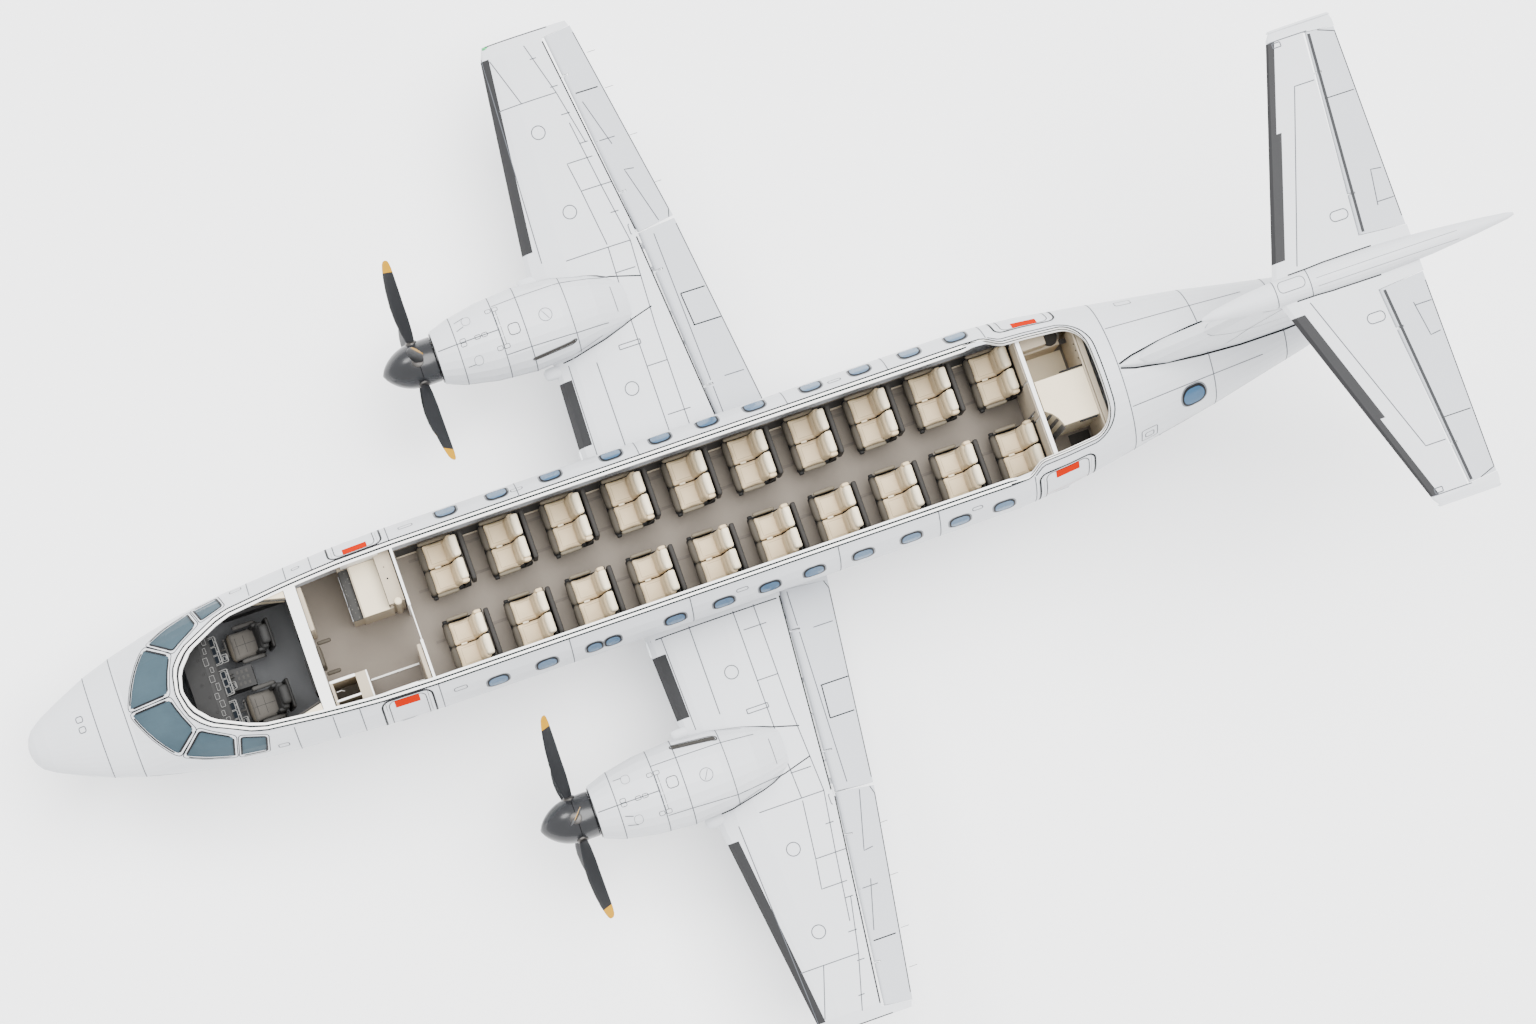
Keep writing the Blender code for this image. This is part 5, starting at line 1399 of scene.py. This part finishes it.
def route_distance(point, route):
    """How far a point lies from a route of straight runs."""
    nearest = inf
    for start, end in zip(route, route[1:]):
        run = end - start
        share = min(1, max(0, (point - start).dot(run) / run.length_squared))
        nearest = min(nearest, (point - start - run * share).length)
    return nearest


def remeshed(shape, voxel):
    """A closed shape in even, smoothed cells."""
    made = cloth_object(shape)
    cells = made.modifiers.new("cells", "REMESH")
    cells.mode = "VOXEL"
    cells.voxel_size = voxel
    even = made.modifiers.new("even", "SMOOTH")
    even.factor = 0.5
    even.iterations = SMOOTHING_ROUNDS
    result = evaluated(made)
    discard(made)
    return result


def swollen(shape, voxel, cap, rest=DOWN, sewn=()):
    """A closed shape blown up as cloth, kept inside the box it had."""
    low, high = extent(shape[0])
    middle = (low + high) / 2
    shrunk = [middle + (Vector(point) - middle) * CLOTH_SHRINK for point in shape[0]]
    start, faces = remeshed((shrunk, shape[1]), voxel)
    made = cloth_object((start, faces))
    held = made.vertex_groups.new(name="held")
    sewn = [[Vector(point) for point in route] for route in sewn]
    for vertex in made.data.vertices:
        on_rest = vertex.normal.dot(rest) > RESTING
        facing_out = vertex.normal.dot(rest) < TURNED_OUT
        flat = vertex.co - rest * vertex.co.dot(rest)
        if on_rest or facing_out and any(route_distance(flat, route) < voxel * SEWN_REACH for route in sewn):
            held.add([vertex.index], 1.0, "REPLACE")
    cloth = made.modifiers.new("cloth", "CLOTH")
    cloth.settings.use_pressure = True
    cloth.settings.uniform_pressure_force = CLOTH_PRESSURE
    cloth.settings.vertex_group_mass = "held"
    cloth.settings.effector_weights.gravity = 0
    cloth.collision_settings.use_collision = False
    cloth.point_cache.frame_start = 1
    cloth.point_cache.frame_end = CLOTH_LAST_FRAME
    for frame_number in range(1, CLOTH_LAST_FRAME + 1):
        bpy.context.scene.frame_set(frame_number)
    moved_points = evaluated(made)[0]
    discard(made)
    bpy.context.scene.frame_set(1)
    points = []
    for before, after in zip(start, moved_points):
        step = after - before
        points.append(before + step * min(1, cap / max(step.length, 1e-9)))
    new_low, new_high = extent(points)
    share = [(high[axis] - low[axis]) / (new_high[axis] - new_low[axis]) for axis in range(3)]
    return [Vector([low[axis] + (point[axis] - new_low[axis]) * share[axis] for axis in range(3)])
            for point in points], faces


# Passenger seats, in a frame with x forward from the front edge, y out from the aisle side, z over the floor

SEAT_ROWS = 10
FIRST_SEAT_FRONT_X = 5.06
ROW_PITCH = 0.978
# Side, name, distance of the seats from the middle and share of their full width, as the photo shows them
SEAT_SIDES = ((1, "left", 0.185, 0.90), (-1, "right", 0.20, 0.95))
SEAT_CENTRES = (0.245, 0.655)
SEAT_WIDTH = 0.402
RECLINE = Matrix.Rotation(radians(-9), 3, "Y")
# Sewn lines in the frames of the squab and of the back, as laid by seat_stitches
SQUAB_SEAM = ((-0.135, -0.135, 0), (0.115, -0.135, 0), (0.115, 0.135, 0), (-0.135, 0.135, 0),
              (-0.135, -0.135, 0))
BACK_SEAM = ((0, -0.14, 0.05), (0, 0.14, 0.05))


def seat_parts():
    """The pieces of one double seat: name, shape, material, and the fill of what is padded."""
    squab = swollen(cushion((0.37, SEAT_WIDTH, 0.14), 0.035, 0.026, 0.012), 0.018, 0.016, sewn=(SQUAB_SEAM,))
    roll = swollen(cushion((0.105, SEAT_WIDTH - 0.01, 0.155), 0.048, 0.010, -0.014), 0.016, 0.010)
    back = swollen(cushion((0.115, SEAT_WIDTH, 0.50), 0.040, 0.0, 0.006), 0.018, 0.014, AFT, (BACK_SEAM,))
    head = swollen(cushion((0.125, 0.360, 0.21), 0.038, 0.012, 0.004), 0.016, 0.010, AFT)
    squabs, rolls, backs, heads = [], [], [], []
    for y in SEAT_CENTRES:
        squabs.append(moved(squab, (-0.285, y, 0.395)))
        rolls.append(moved(roll, (-0.068, y, 0.365)))
        backs.append(moved(back, (-0.490, y, 0.69), RECLINE))
        heads.append(moved(head, (-0.562, 0.45 + (y - 0.45) * 0.922, 0.965), RECLINE))
    shoulder = swollen(cushion((0.120, 0.075, 0.17), 0.036), 0.012, 0.006, AFT)
    shoulder = moved(shoulder, (-0.560, 0.060, 0.935), RECLINE)
    wall_arm = swollen(cushion((0.47, 0.060, 0.075), 0.029, counts=(12, 4, 4)), 0.012, 0.005)
    wall_arm = moved(wall_arm, (-0.285, 0.872, 0.575))
    aisle_arm = swollen(cushion((0.35, 0.062, 0.070), 0.030, counts=(12, 4, 4)), 0.012, 0.005)
    aisle_arm = moved(aisle_arm, (-0.270, 0.002, 0.585))
    posts = [block((-0.42, y - 0.014, 0.30), (-0.14, y + 0.014, 0.56), 0.012) for y in (0.012, 0.872)]
    # The dark tray under the cushions also shows as painted shadow round the seat's base.
    tray = moved(cushion((0.645, 0.885, 0.10), 0.045, counts=(8, 8, 3)), (-0.330, 0.450, 0.325))
    back_shell = moved(cushion((0.040, 0.86, 0.55), 0.018, counts=(3, 10, 8)), (-0.585, 0.45, 0.62), RECLINE)
    foot = block((-0.105, -0.028, 0.27), (-0.030, 0.030, 0.36), 0.018)
    slab = moved(cushion((0.078, 0.82, 0.62), 0.030, counts=(4, 12, 8)), (-0.702, 0.450, 0.64))
    stays = [bar((-0.71, y, 0.36), (-0.56, y, 0.33), 0.016) for y in (0.205, 0.695)]
    legs = []
    for y in (0.205, 0.695):
        legs += [bar((-0.14, y, 0.27), (-0.10, y, 0.02), 0.018),
                 bar((-0.50, y, 0.27), (-0.56, y, 0.02), 0.018)]
    buckle = moved(cushion((0.095, 0.034, 0.020), 0.009, counts=(4, 4, 3)), (-0.245, 0.452, 0.468))
    return (
        ("squabs", joined(*squabs), "cream", 0.7),
        ("rolls", joined(*rolls), "taupe", 0.8),
        ("backs", joined(*backs), "cream", 0.7),
        ("head_rests", joined(*heads), "light_cream", 0.7),
        ("shoulder", joined(shoulder), "cream", 0.8),
        ("wall_arm_rest", wall_arm, "arm_taupe", 0.8),
        ("aisle_arm_rest", aisle_arm, "arm_taupe", 0.8),
        ("shell", joined(tray, back_shell, foot, *posts), "shell", None),
        ("rear_slab", joined(slab, *stays), "slab", None),
        ("legs", joined(*legs), "dark_metal", None),
        ("buckle", buckle, "worktop", None),
        ("stitches", seat_stitches(squabs, backs), "stitch", None),
    )


def seat_stitches(squabs, backs):
    """Sewn lines on the squabs and across the backs."""
    shapes = []
    for squab, y in zip(squabs, SEAT_CENTRES):
        loop = ((-0.42, y - 0.135), (-0.17, y - 0.135), (-0.17, y + 0.135), (-0.42, y + 0.135),
                (-0.42, y - 0.135))
        shapes.append(line(tree_of(squab), [(x, out, 1.0) for x, out in loop], DOWN, STITCH, STITCH_LIFT))
    for back, y in zip(backs, SEAT_CENTRES):
        route = [(0.0, y - 0.14, 0.74), (0.0, y + 0.14, 0.74)]
        shapes.append(line(tree_of(back), route, AFT, STITCH, STITCH_LIFT))
    return joined(*shapes)


def spread_seats(parts, name, places):
    """Copies of a seat's pieces at several places, which share their meshes."""
    first = {}
    for label, shape, made, fill in parts:
        for number, place in enumerate(places, 1):
            full_name = f"{name}_{label}_{number:02d}"
            if label in first:
                made_piece = bpy.data.objects.new(full_name, first[label].data)
                made_piece.location = place
                settle(made_piece, "airframe", SLOTS[made])
            else:
                made_piece = piece(full_name, shape, made)
                first[label] = made_piece
                made_piece.location = place
            yield made_piece


def sized(shape, share, side):
    """A seat's shape at a share of its width, on the side it stands on."""
    points, faces = shape
    points = [Vector((x, y * share, z)) for x, y, z in points]
    return on_side((points, faces), side)


def make_seats():
    parts = seat_parts()
    for side, name, start, share in SEAT_SIDES:
        placed = [(label, sized(shape, share, side), made, fill) for label, shape, made, fill in parts]
        places = [(FIRST_SEAT_FRONT_X - ROW_PITCH * row, side * start, FLOOR_Z) for row in range(SEAT_ROWS)]
        for made_piece in spread_seats(placed, f"seat_{name}", places):
            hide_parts(f"seats_{name}")
        rails = [floor_block((-4.40, side * y - 0.022, 0), (5.20, side * y + 0.022, 0.010), 0.004)
                 for y in (0.405, 0.895)]
        rail = piece(f"seat_rails_{name}", rails, "mat")
        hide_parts(f"seats_{name}")


# Pilots' seats, in a frame with x forward and y to port from the seat's middle

PILOT_X = 7.90
PILOT_Y = 0.48
# Sewn lines in the seat's frame as (x, y), and the same routes in the frame of the squab
PILOT_STITCHES = (((-0.12, 0), (0.19, 0)), ((0.03, -0.18), (0.03, 0.18)), ((0.16, -0.17), (0.16, 0.17)))
PILOT_SEAMS = (
    ((-0.155, 0, 0), (0.155, 0, 0)),
    ((-0.005, -0.18, 0), (-0.005, 0.18, 0)),
    ((0.125, -0.17, 0), (0.125, 0.17, 0)),
)


def pilot_seat_parts():
    """The pieces of one pilot's seat: name, shape, material, and the fill of what is padded."""
    squab = swollen(cushion((0.43, 0.43, 0.13), 0.05, 0.022, 0.010), 0.012, 0.016, sewn=PILOT_SEAMS)
    squab = moved(squab, (0.035, 0, 0.405))
    front = moved(swollen(cushion((0.10, 0.41, 0.14), 0.048, 0.0, -0.014), 0.012, 0.010), (0.235, 0, 0.375))
    back = swollen(cushion((0.13, 0.44, 0.52), 0.05, 0.0, 0.010), 0.014, 0.014, AFT)
    back = moved(back, (-0.225, 0, 0.70), RECLINE)
    wing = swollen(cushion((0.13, 0.075, 0.42), 0.034), 0.012, 0.006, AFT)
    side_wings = [moved(wing, (-0.175, side * 0.190, 0.68), RECLINE) for side in (1, -1)]
    head = swollen(cushion((0.15, 0.30, 0.19), 0.055, 0.010, 0.0), 0.012, 0.010, AFT)
    head = moved(head, (-0.295, 0, 0.985), RECLINE)
    arm = swollen(cushion((0.36, 0.070, 0.066), 0.031, counts=(12, 4, 4)), 0.012, 0.005)
    arms = [moved(arm, (-0.030, side * 0.262, 0.60)) for side in (1, -1)]
    shell = moved(cushion((0.060, 0.47, 0.60), 0.028), (-0.345, 0, 0.69), RECLINE)
    base = [block((-0.24, -0.225, 0.22), (0.27, 0.225, 0.35), 0.05),
            block((-0.16, -0.10, 0.0), (0.12, 0.10, 0.23), 0.02)]
    posts = [block((-0.22, side * 0.262 - 0.012, 0.30), (-0.10, side * 0.262 + 0.012, 0.58), 0.010)
             for side in (1, -1)]
    tree = tree_of(squab)
    seams = [line(tree, [(x, y, 1.0) for x, y in route], DOWN, STITCH, STITCH_LIFT)
             for route in PILOT_STITCHES]
    return (
        ("squab", squab, "pilot_grey", 0.7),
        ("roll", front, "taupe", 0.8),
        ("back", joined(back, *side_wings), "pilot_dark", 0.7),
        ("head_rest", head, "pilot_dark", 0.8),
        ("arm_rests", joined(*arms), "pilot_mid", 0.8),
        ("shell", joined(shell, *base, *posts), "shell", None),
        ("seams", joined(*seams), "dark_line", None),
    )


def make_pilot_seats():
    parts = pilot_seat_parts()
    for side, name in SIDES:
        for made_piece in spread_seats(parts, f"pilot_{name}", [(PILOT_X, side * PILOT_Y, FLOOR_Z)]):
            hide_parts(f"pilot_seat_{name}")


# Cockpit

PANEL_TOP = FLOOR_Z + 0.98
PANEL_TILT = Matrix.Rotation(radians(30), 3, "Y")
# Displays on the panel: middle x, middle y, depth, width and how far they stand over the panel's top
DISPLAYS = (
    (8.385, -0.47, 0.17, 0.44, 0.0), (8.365, 0.03, 0.17, 0.40, 0.0), (8.385, 0.53, 0.17, 0.44, 0.0),
    (8.27, -0.33, 0.11, 0.13, -0.08), (8.27, 0.66, 0.11, 0.13, -0.08), (8.27, 0.10, 0.09, 0.12, -0.10),
)
# Small boxes and dials on the glareshield: x, y, half depth, half width
GLARESHIELD_BOXES = (
    (8.50, -0.66, 0.030, 0.055), (8.53, -0.52, 0.022, 0.045), (8.56, -0.36, 0.034, 0.060),
    (8.51, -0.22, 0.024, 0.040), (8.55, -0.09, 0.036, 0.050), (8.50, 0.05, 0.026, 0.055),
    (8.56, 0.18, 0.030, 0.045), (8.52, 0.31, 0.034, 0.050), (8.55, 0.45, 0.024, 0.040),
    (8.51, 0.58, 0.030, 0.055), (8.54, 0.71, 0.022, 0.040),
)
DIALS = ((8.66, -0.42), (8.64, -0.20), (8.66, 0.16), (8.63, 0.40), (8.68, 0.60), (8.72, -0.05), (8.62, -0.60))


def frame_ring(depth, width, thickness, height, radius=0.02):
    """A flat frame about the origin in x and y."""
    edge = outline(depth, width, radius, 4)
    hole = outline(depth - 2 * thickness, width - 2 * thickness, radius / 2, 4)
    rings = [[(x, y, 0) for x, y in edge], [(x, y, height) for x, y in edge],
             [(x, y, height) for x, y in hole], [(x, y, 0) for x, y in hole]]
    return lofted(rings, closed=True)


def shield_top(x):
    """Height of the glareshield, which falls towards the nose."""
    return PANEL_TOP - 0.175 * (x - 8.44) + 0.022


def make_displays():
    """Displays on the instrument panel, with their frames and knobs."""
    bezels, screens, knobs = [], [], []
    for x, y, depth, width, over in DISPLAYS:
        place = (x, y, PANEL_TOP + over)
        bezels.append(moved(frame_ring(depth, width, 0.012, 0.022), place, PANEL_TILT))
        screens.append(moved(cushion((depth, width, 0.016), 0.007, counts=(4, 6, 3)), place, PANEL_TILT))
        count = max(round(width / 0.13), 1)
        for number in range(count):
            off = (number - (count - 1) / 2) * (width - 0.04) / count
            inner = moved(frame_ring(depth * 0.56, (width - 0.06) / count, 0.008, 0.014, 0.012),
                          (0, off, 0.008))
            bezels.append(moved(inner, place, PANEL_TILT))
            for side in (-1, 1):
                spot = (side * depth * 0.37, off + 0.02 * number, 0.004)
                knobs.append(moved(bar(spot, (spot[0], spot[1], 0.028), 0.009, 10), place, PANEL_TILT))
    piece("display_bezels", bezels, "bezel")
    piece("display_screens", screens, "screen")
    piece("panel_knobs", knobs, "bezel")


def make_glareshield():
    """Boxes, rings and dials on the glareshield."""
    rows, rings, dials = [], [], []
    for x, y, depth, width in GLARESHIELD_BOXES:
        top = shield_top(x)
        rows.append(block((x - depth, y - width, top - 0.03), (x + depth, y + width, top + 0.012), 0.008))
        rings.append(moved(frame_ring(2 * depth + 0.004, 2 * width + 0.004, 0.006, 0.018, 0.01), (x, y, top)))
    dial = revolved(((0.0, 0.022), (0.012, 0.022), (0.012, 0.014), (0.004, 0.013)), 20)
    for x, y in DIALS:
        dials.append(moved(dial, (x, y, shield_top(x)), AXIS_UP))
    piece("glareshield_boxes", rows, "panel_grey")
    piece("glareshield_rings", rings, "bezel")
    piece("glareshield_dials", dials, "pilot_dark")


def make_controls():
    """Yokes, levers and keys."""
    yokes, levers = [], []
    for side in (1, -1):
        y = side * PILOT_Y
        yokes.append(tube([(8.36, y, FLOOR_Z + 0.60), (8.22, y, FLOOR_Z + 0.66)], 0.018))
        grip = [(8.22, y - 0.13, FLOOR_Z + 0.74), (8.22, y - 0.12, FLOOR_Z + 0.64), (8.22, y, FLOOR_Z + 0.63),
                (8.22, y + 0.12, FLOOR_Z + 0.64), (8.22, y + 0.13, FLOOR_Z + 0.74)]
        yokes.append(tube(grip, 0.015))
    piece("yokes", yokes, "pilot_mid")
    for y in (-0.09, -0.04, 0.04, 0.09):
        levers.append(bar((8.24, y, FLOOR_Z + 0.62), (8.28, y, FLOOR_Z + 0.76), 0.009, 8))
        levers.append(floor_block((8.262, y - 0.015, 0.755), (8.298, y + 0.015, 0.785), 0.01))
    for row in range(3):
        for column in range(3):
            x, y, z = 8.02 + row * 0.07, -0.09 + column * 0.09, FLOOR_Z + 0.565 + row * 0.018
            levers.append(block((x, y - 0.028, z), (x + 0.042, y + 0.028, z + 0.014), 0.005))
    piece("pedestal_controls", levers, "pilot_mid")


def make_cockpit_sides():
    """Consoles along the walls, cream corners by the bulkhead, and lockers on its front."""
    consoles, corners, edges = [], [], []
    for side in (1, -1):
        y = side * 0.98
        consoles.append(floor_block((7.16, y - 0.10, 0), (8.15, y + 0.06, 0.52), 0.02))
        low, high = FLOOR_Z + 0.9, CUT_Z - 0.03
        rings = []
        for z in (low, high):
            walls = {x: abs(onto(HULL, (x, 0, z), (0, side, 0))[0].y) - 0.004 for x in (7.13, 7.42, 7.72)}
            wedge = [(7.13, walls[7.13]), (7.13, 0.83), (7.42, 0.90),
                     (7.72, walls[7.72] - 0.02), (7.72, walls[7.72]), (7.42, walls[7.42])]
            rings.append([(x, side * out, z) for x, out in wedge])
        corners.append(lofted(rings))
        edges.append(tube([(7.14, side * 0.80, high), (7.42, side * 0.875, high),
                           (7.72, side * 0.94, high)], 0.012))
    piece("side_consoles", consoles, "panel_grey")
    piece("cockpit_corners", corners, "worktop")
    piece("cockpit_corner_edges", edges, "recess_shade_and_dark_trim")
    stow = [floor_block((7.121, 0.10, 0.1), (7.17, 0.62, 1.2), 0.02),
            floor_block((7.121, -0.85, 0.1), (7.16, -0.25, 1.25), 0.02)]
    piece("bulkhead_lockers", stow, "pilot_dark")


# Galley, wardrobe, entry and lavatory

def make_galley():
    """Worktop, front, latches, post cap and cart doors."""
    galley_top = FLOOR_Z + 1.18
    front_top = FLOOR_Z + 1.04
    piece("galley_worktop", block((5.705, -0.99, galley_top), (6.10, -0.20, galley_top + 0.012), 0.005),
          "worktop")
    piece("galley_front", block((6.115, -0.99, front_top), (6.285, -0.20, front_top + 0.05), 0.024),
          "scuffed")
    marks = [bar((5.60, y, FLOOR_Z + 1.441), (5.60, y, FLOOR_Z + 1.452), radius, 12)
             for y, radius in ((-0.62, 0.014), (-0.80, 0.009))]
    piece("galley_latches", marks, "dark_line")
    piece("galley_post_cap", bar((5.56, -0.25, FLOOR_Z + 1.48), (5.56, -0.25, FLOOR_Z + 1.50), 0.055, 24),
          "worktop")
    piece("galley_gap", floor_block((5.695, -0.98, 1.18), (5.705, -0.22, 1.44), 0.002), "dark_line")
    carts = [floor_block((6.281, y, 0.08), (6.292, y + 0.225, 0.98), 0.004)
             for y in (-0.93 + number * 0.245 for number in range(3))]
    piece("galley_doors", carts, "metal")


def make_entry():
    """Linings, panels, edges and mats between the two front doors."""
    lining = block((5.62, -1.045, FLOOR_Z + 0.9), (6.22, -1.0, CUT_Z - 0.02), 0.02)
    knob = moved(cushion((0.06, 0.05, 0.06), 0.024), (6.27, -1.02, CUT_Z - 0.06))
    piece("service_door_lining", joined(lining, knob), "rim")
    piece("curtain_rail", block((5.405, -0.12, CUT_Z - 0.05), (5.425, 0.42, CUT_Z - 0.02), 0.008), "rim")
    piece("entry_partition_panel", block((5.445, 0.46, FLOOR_Z + 0.02), (5.525, 1.02, CUT_Z - 0.05), 0.03),
          "trim")
    edges = [floor_block((6.335, 0.56, 1.40), (6.360, 1.06, 1.43), 0.006),
             floor_block((6.52, 0.555, 1.41), (6.92, 0.60, 1.435), 0.008),
             floor_block((6.52, 0.858, 1.41), (6.90, 0.892, 1.43), 0.006)]
    for y in (0.62, 0.88):
        edges.append(floor_block((5.55, y - 0.016, 0), (6.32, y + 0.016, 0.03), 0.008))
    piece("entry_edges", edges, "rim")
    mats = [floor_block((5.56, 0.64, 0), (6.31, 0.86, 0.012), 0.004),
            floor_block((5.56, 0.90, 0), (6.31, 1.02, 0.006), 0.002)]
    piece("entry_mats", mats, "mat")


def make_wardrobe():
    """Floors and hooks of the two coat bays, and the panel across from them."""
    bays = [floor_block((6.525, low, 0.062), (6.878, high, 0.075), 0.004)
            for low, high in ((0.603, 0.857), (0.893, 1.09))]
    piece("wardrobe_floors", bays, "carpet")
    hooks = [tube([(6.86, y, FLOOR_Z + 1.30), (6.78, y, FLOOR_Z + 1.32), (6.74, y + 0.02, FLOOR_Z + 1.26),
                   (6.78, y, FLOOR_Z + 1.32)], 0.004) for y in (0.73, 1.0)]
    piece("coat_hooks", hooks, "rim")
    piece("bulkhead_panel", floor_block((6.86, -0.92, 0.05), (6.938, -0.24, 1.50), 0.02), "trim")


def make_jump_seat():
    """The folded seat on the cockpit's bulkhead, and its two arm rests."""
    fold = ((0, -0.15, -0.10), (0, 0.15, -0.10))
    folded = swollen(cushion((0.063, 0.34, 1.0), 0.026), 0.014, 0.008, FORE, (fold,))
    piece("jump_seat", moved(folded, (6.9065, 0.14, FLOOR_Z + 0.85)), "taupe")
    arm_pad = swollen(cushion((0.22, 0.065, 0.06), 0.028), 0.012, 0.005)
    arms = [moved(arm_pad, (6.80, y, FLOOR_Z + 0.75)) for y in (-0.10, 0.38)]
    for arm in range(2):
        piece(f"jump_seat_arm_{arm + 1}", arms[arm], "taupe")


def make_entry_door_lining():
    """The white lining at the head of the airstair, which moves with it."""
    lining = block((5.66, 0.985, CUT_Z - 0.30), (6.17, 1.03, CUT_Z - 0.02), 0.02)
    piece("entry_door_lining", lining, "rim", "entry_door")


def make_lavatory():
    """Rails, curved door leaf, rear wall and small fittings."""
    top = FLOOR_Z + 1.55
    rails = [block((-5.31, -0.275, top - 0.02), (-4.93, -0.245, top + 0.03), 0.014),
             block((-5.28, 0.525, top - 0.02), (-4.98, 0.555, top + 0.03), 0.014)]
    piece("lavatory_rails", rails, "shell")
    leaf = [(-4.30 + radius * cos(angle), 0.62 + radius * sin(angle))
            for radius, start, sweep in ((0.475, 188, 70), (0.458, 258, -70))
            for angle in (radians(start + sweep * step / 10) for step in range(11))]
    rings = [[(x, y, z) for x, y in leaf] for z in (FLOOR_Z + 0.03, top - 0.12)]
    piece("lavatory_door", lofted(rings), "pilot_grey")
    wall = block((-5.335, -0.85, FLOOR_Z + 0.3), (-5.30, 0.85, CUT_Z - 0.02), 0.012)
    piece("lavatory_rear_wall", wall, "trim")
    marks = [bar((-5.298, y, FLOOR_Z + 1.5), (-5.288, y, FLOOR_Z + 1.5), 0.014, 12)
             for y in (-0.6, -0.5, -0.38, -0.25, -0.05, 0.12, 0.4)]
    piece("lavatory_fittings", marks, "dark_line")


def make_lavatory_fittings():
    """Cabinet, basin, floors, and the panels of the partition."""
    cabinet = floor_block((-4.94, -1.02, 0.86), (-4.55, -0.76, 1.30), 0.02)
    piece("lavatory_cabinet", cabinet, "trim")
    basin = moved(revolved(((0.0, 0.115), (0.012, 0.13), (0.016, 0.12), (-0.02, 0.10), (-0.07, 0.05),
                            (-0.075, 0.004)), 32),
                  (-5.07, -0.88, FLOOR_Z + 0.855), AXIS_UP)
    piece("wash_basin", basin, "recess_shade_and_dark_trim")
    linings = [block((-4.93, -1.02, CUT_Z - 0.20), (-4.50, -0.975, CUT_Z - 0.02), 0.02),
               block((-4.90, 0.935, CUT_Z - 0.20), (-4.52, 0.98, CUT_Z - 0.02), 0.02)]
    piece("aft_door_linings", linings, "rim")
    piece("lavatory_floor", floor_block((-5.30, -0.74, 0), (-4.44, -0.28, 0.012), 0.004), "worktop")
    # Dark plates on the floor and beside the basin: painted shade of recesses.
    recess = [floor_block((-5.30, 0.56, 0), (-4.97, 0.80, 0.012), 0.004),
              floor_block((-5.30, -0.80, 0.86), (-5.19, -0.72, 0.88), 0.004)]
    piece("lavatory_recess_shade", recess, "recess_shade_and_dark_trim")
    panels = [block((-4.438, low, FLOOR_Z + 0.03), (-4.415, high, CUT_Z - 0.06), 0.01)
              for low, high in ((-0.92, -0.30), (-0.27, 0.27), (0.30, 0.92))]
    piece("lavatory_partition_panels", panels, "trim")
    handle = bar((-4.40, 0.20, FLOOR_Z + 1.0), (-4.40, 0.20, FLOOR_Z + 1.14), 0.010)
    piece("lavatory_handle", handle, "metal")


def make_cabin_details():
    """Trim strips where the floor meets the walls, and dark strips on the floor beside them that are painted
    shade.
    """
    # The dark floor strips beside the walls are painted shade where the floor meets the walls.
    for name, made, rear, y, half_width, height, radius in (
            ("wall_strips", "trim", -4.38, 1.005, 0.012, 0.05, 0.006),
            ("wall_shade_strips", "recess_shade_and_dark_trim", -4.30, 1.07, 0.05, 0.004, 0.001)):
        shapes = [floor_block((rear, side * y - half_width, 0), (5.36, side * y + half_width, height), radius)
                  for side in (1, -1)]
        piece(name, shapes, made)


# Stage, light and camera

CAMERA_PLACE = (6.355, 6.768, 77.13)
CAMERA_AXES = ((-0.94202, 0.33129, 0.05332), (-0.32412, -0.93950, 0.11087), (0.08682, 0.08716, 0.99240))
FLOOR_RADIUS = 250.0
SKY_STRENGTH = 1.6
# Suns: name, strength, how wide they are in degrees, direction of their light
SUNS = (("key", 7.0, 50.0, (0.22, 0.10, -1.0)), ("side", 1.5, 20.0, (-0.5, 0.7, -1.0)))


def make_stage():
    """A wide light floor, as stage."""
    circle = [(FLOOR_RADIUS * cos(angle), FLOOR_RADIUS * sin(angle), -0.002) for angle in full_turn(96)]
    mesh = bpy.data.meshes.new("studio_floor")
    mesh.from_pydata(circle, [], [tuple(range(96))])
    floor_finish = bpy.data.materials.new("studio_floor")
    floor_finish.use_nodes = True
    shader = floor_finish.node_tree.nodes["Principled BSDF"]
    shader.inputs["Base Color"].default_value = (0.98, 0.98, 0.98, 1.0)
    shader.inputs["Roughness"].default_value = 0.9
    mesh.materials.append(floor_finish)
    floor = bpy.data.objects.new("studio_floor", mesh)
    bpy.context.scene.collection.objects.link(floor)


def make_light():
    """A bright overcast sky, and a wide soft sun nearly overhead that leaves the flanks a little darker."""
    world = bpy.data.worlds.new("studio")
    world.use_nodes = True
    background = world.node_tree.nodes["Background"]
    background.inputs["Color"].default_value = (0.97, 0.98, 1.0, 1.0)
    background.inputs["Strength"].default_value = SKY_STRENGTH
    bpy.context.scene.world = world
    for name, strength, spread, direction in SUNS:
        light = bpy.data.lights.new(name, "SUN")
        light.energy = strength
        light.angle = radians(spread)
        lamp = bpy.data.objects.new(name, light)
        lamp.rotation_euler = Vector(direction).to_track_quat("-Z", "Y").to_euler()
        bpy.context.scene.collection.objects.link(lamp)


def make_camera():
    """The photo's camera, as fitted to it."""
    data = bpy.data.cameras.new("camera")
    data.lens = 116.26
    data.sensor_width = 36.0
    data.sensor_fit = "HORIZONTAL"
    data.clip_end = 400.0
    camera = bpy.data.objects.new("camera", data)
    turn = Matrix(CAMERA_AXES).transposed().to_4x4()
    camera.matrix_world = Matrix.Translation(CAMERA_PLACE) @ turn
    bpy.context.scene.collection.objects.link(camera)
    bpy.context.scene.camera = camera


def main():
    dress_frame()
    for make in (make_coaming, make_rim, make_cabin_windows, make_door_details, make_hull_lines,
                 make_cockpit_frames, make_hull_fittings, make_dorsal, make_wing_details,
                 make_nacelle_details, make_propellers, make_tail_details, make_wheel_details,
                 make_gear_details, make_seats, make_pilot_seats, make_displays, make_glareshield,
                 make_controls, make_cockpit_sides, make_galley, make_entry, make_wardrobe, make_jump_seat,
                 make_entry_door_lining, make_lavatory, make_lavatory_fittings, make_cabin_details,
                 make_stage, make_light, make_camera):
        make()


main()
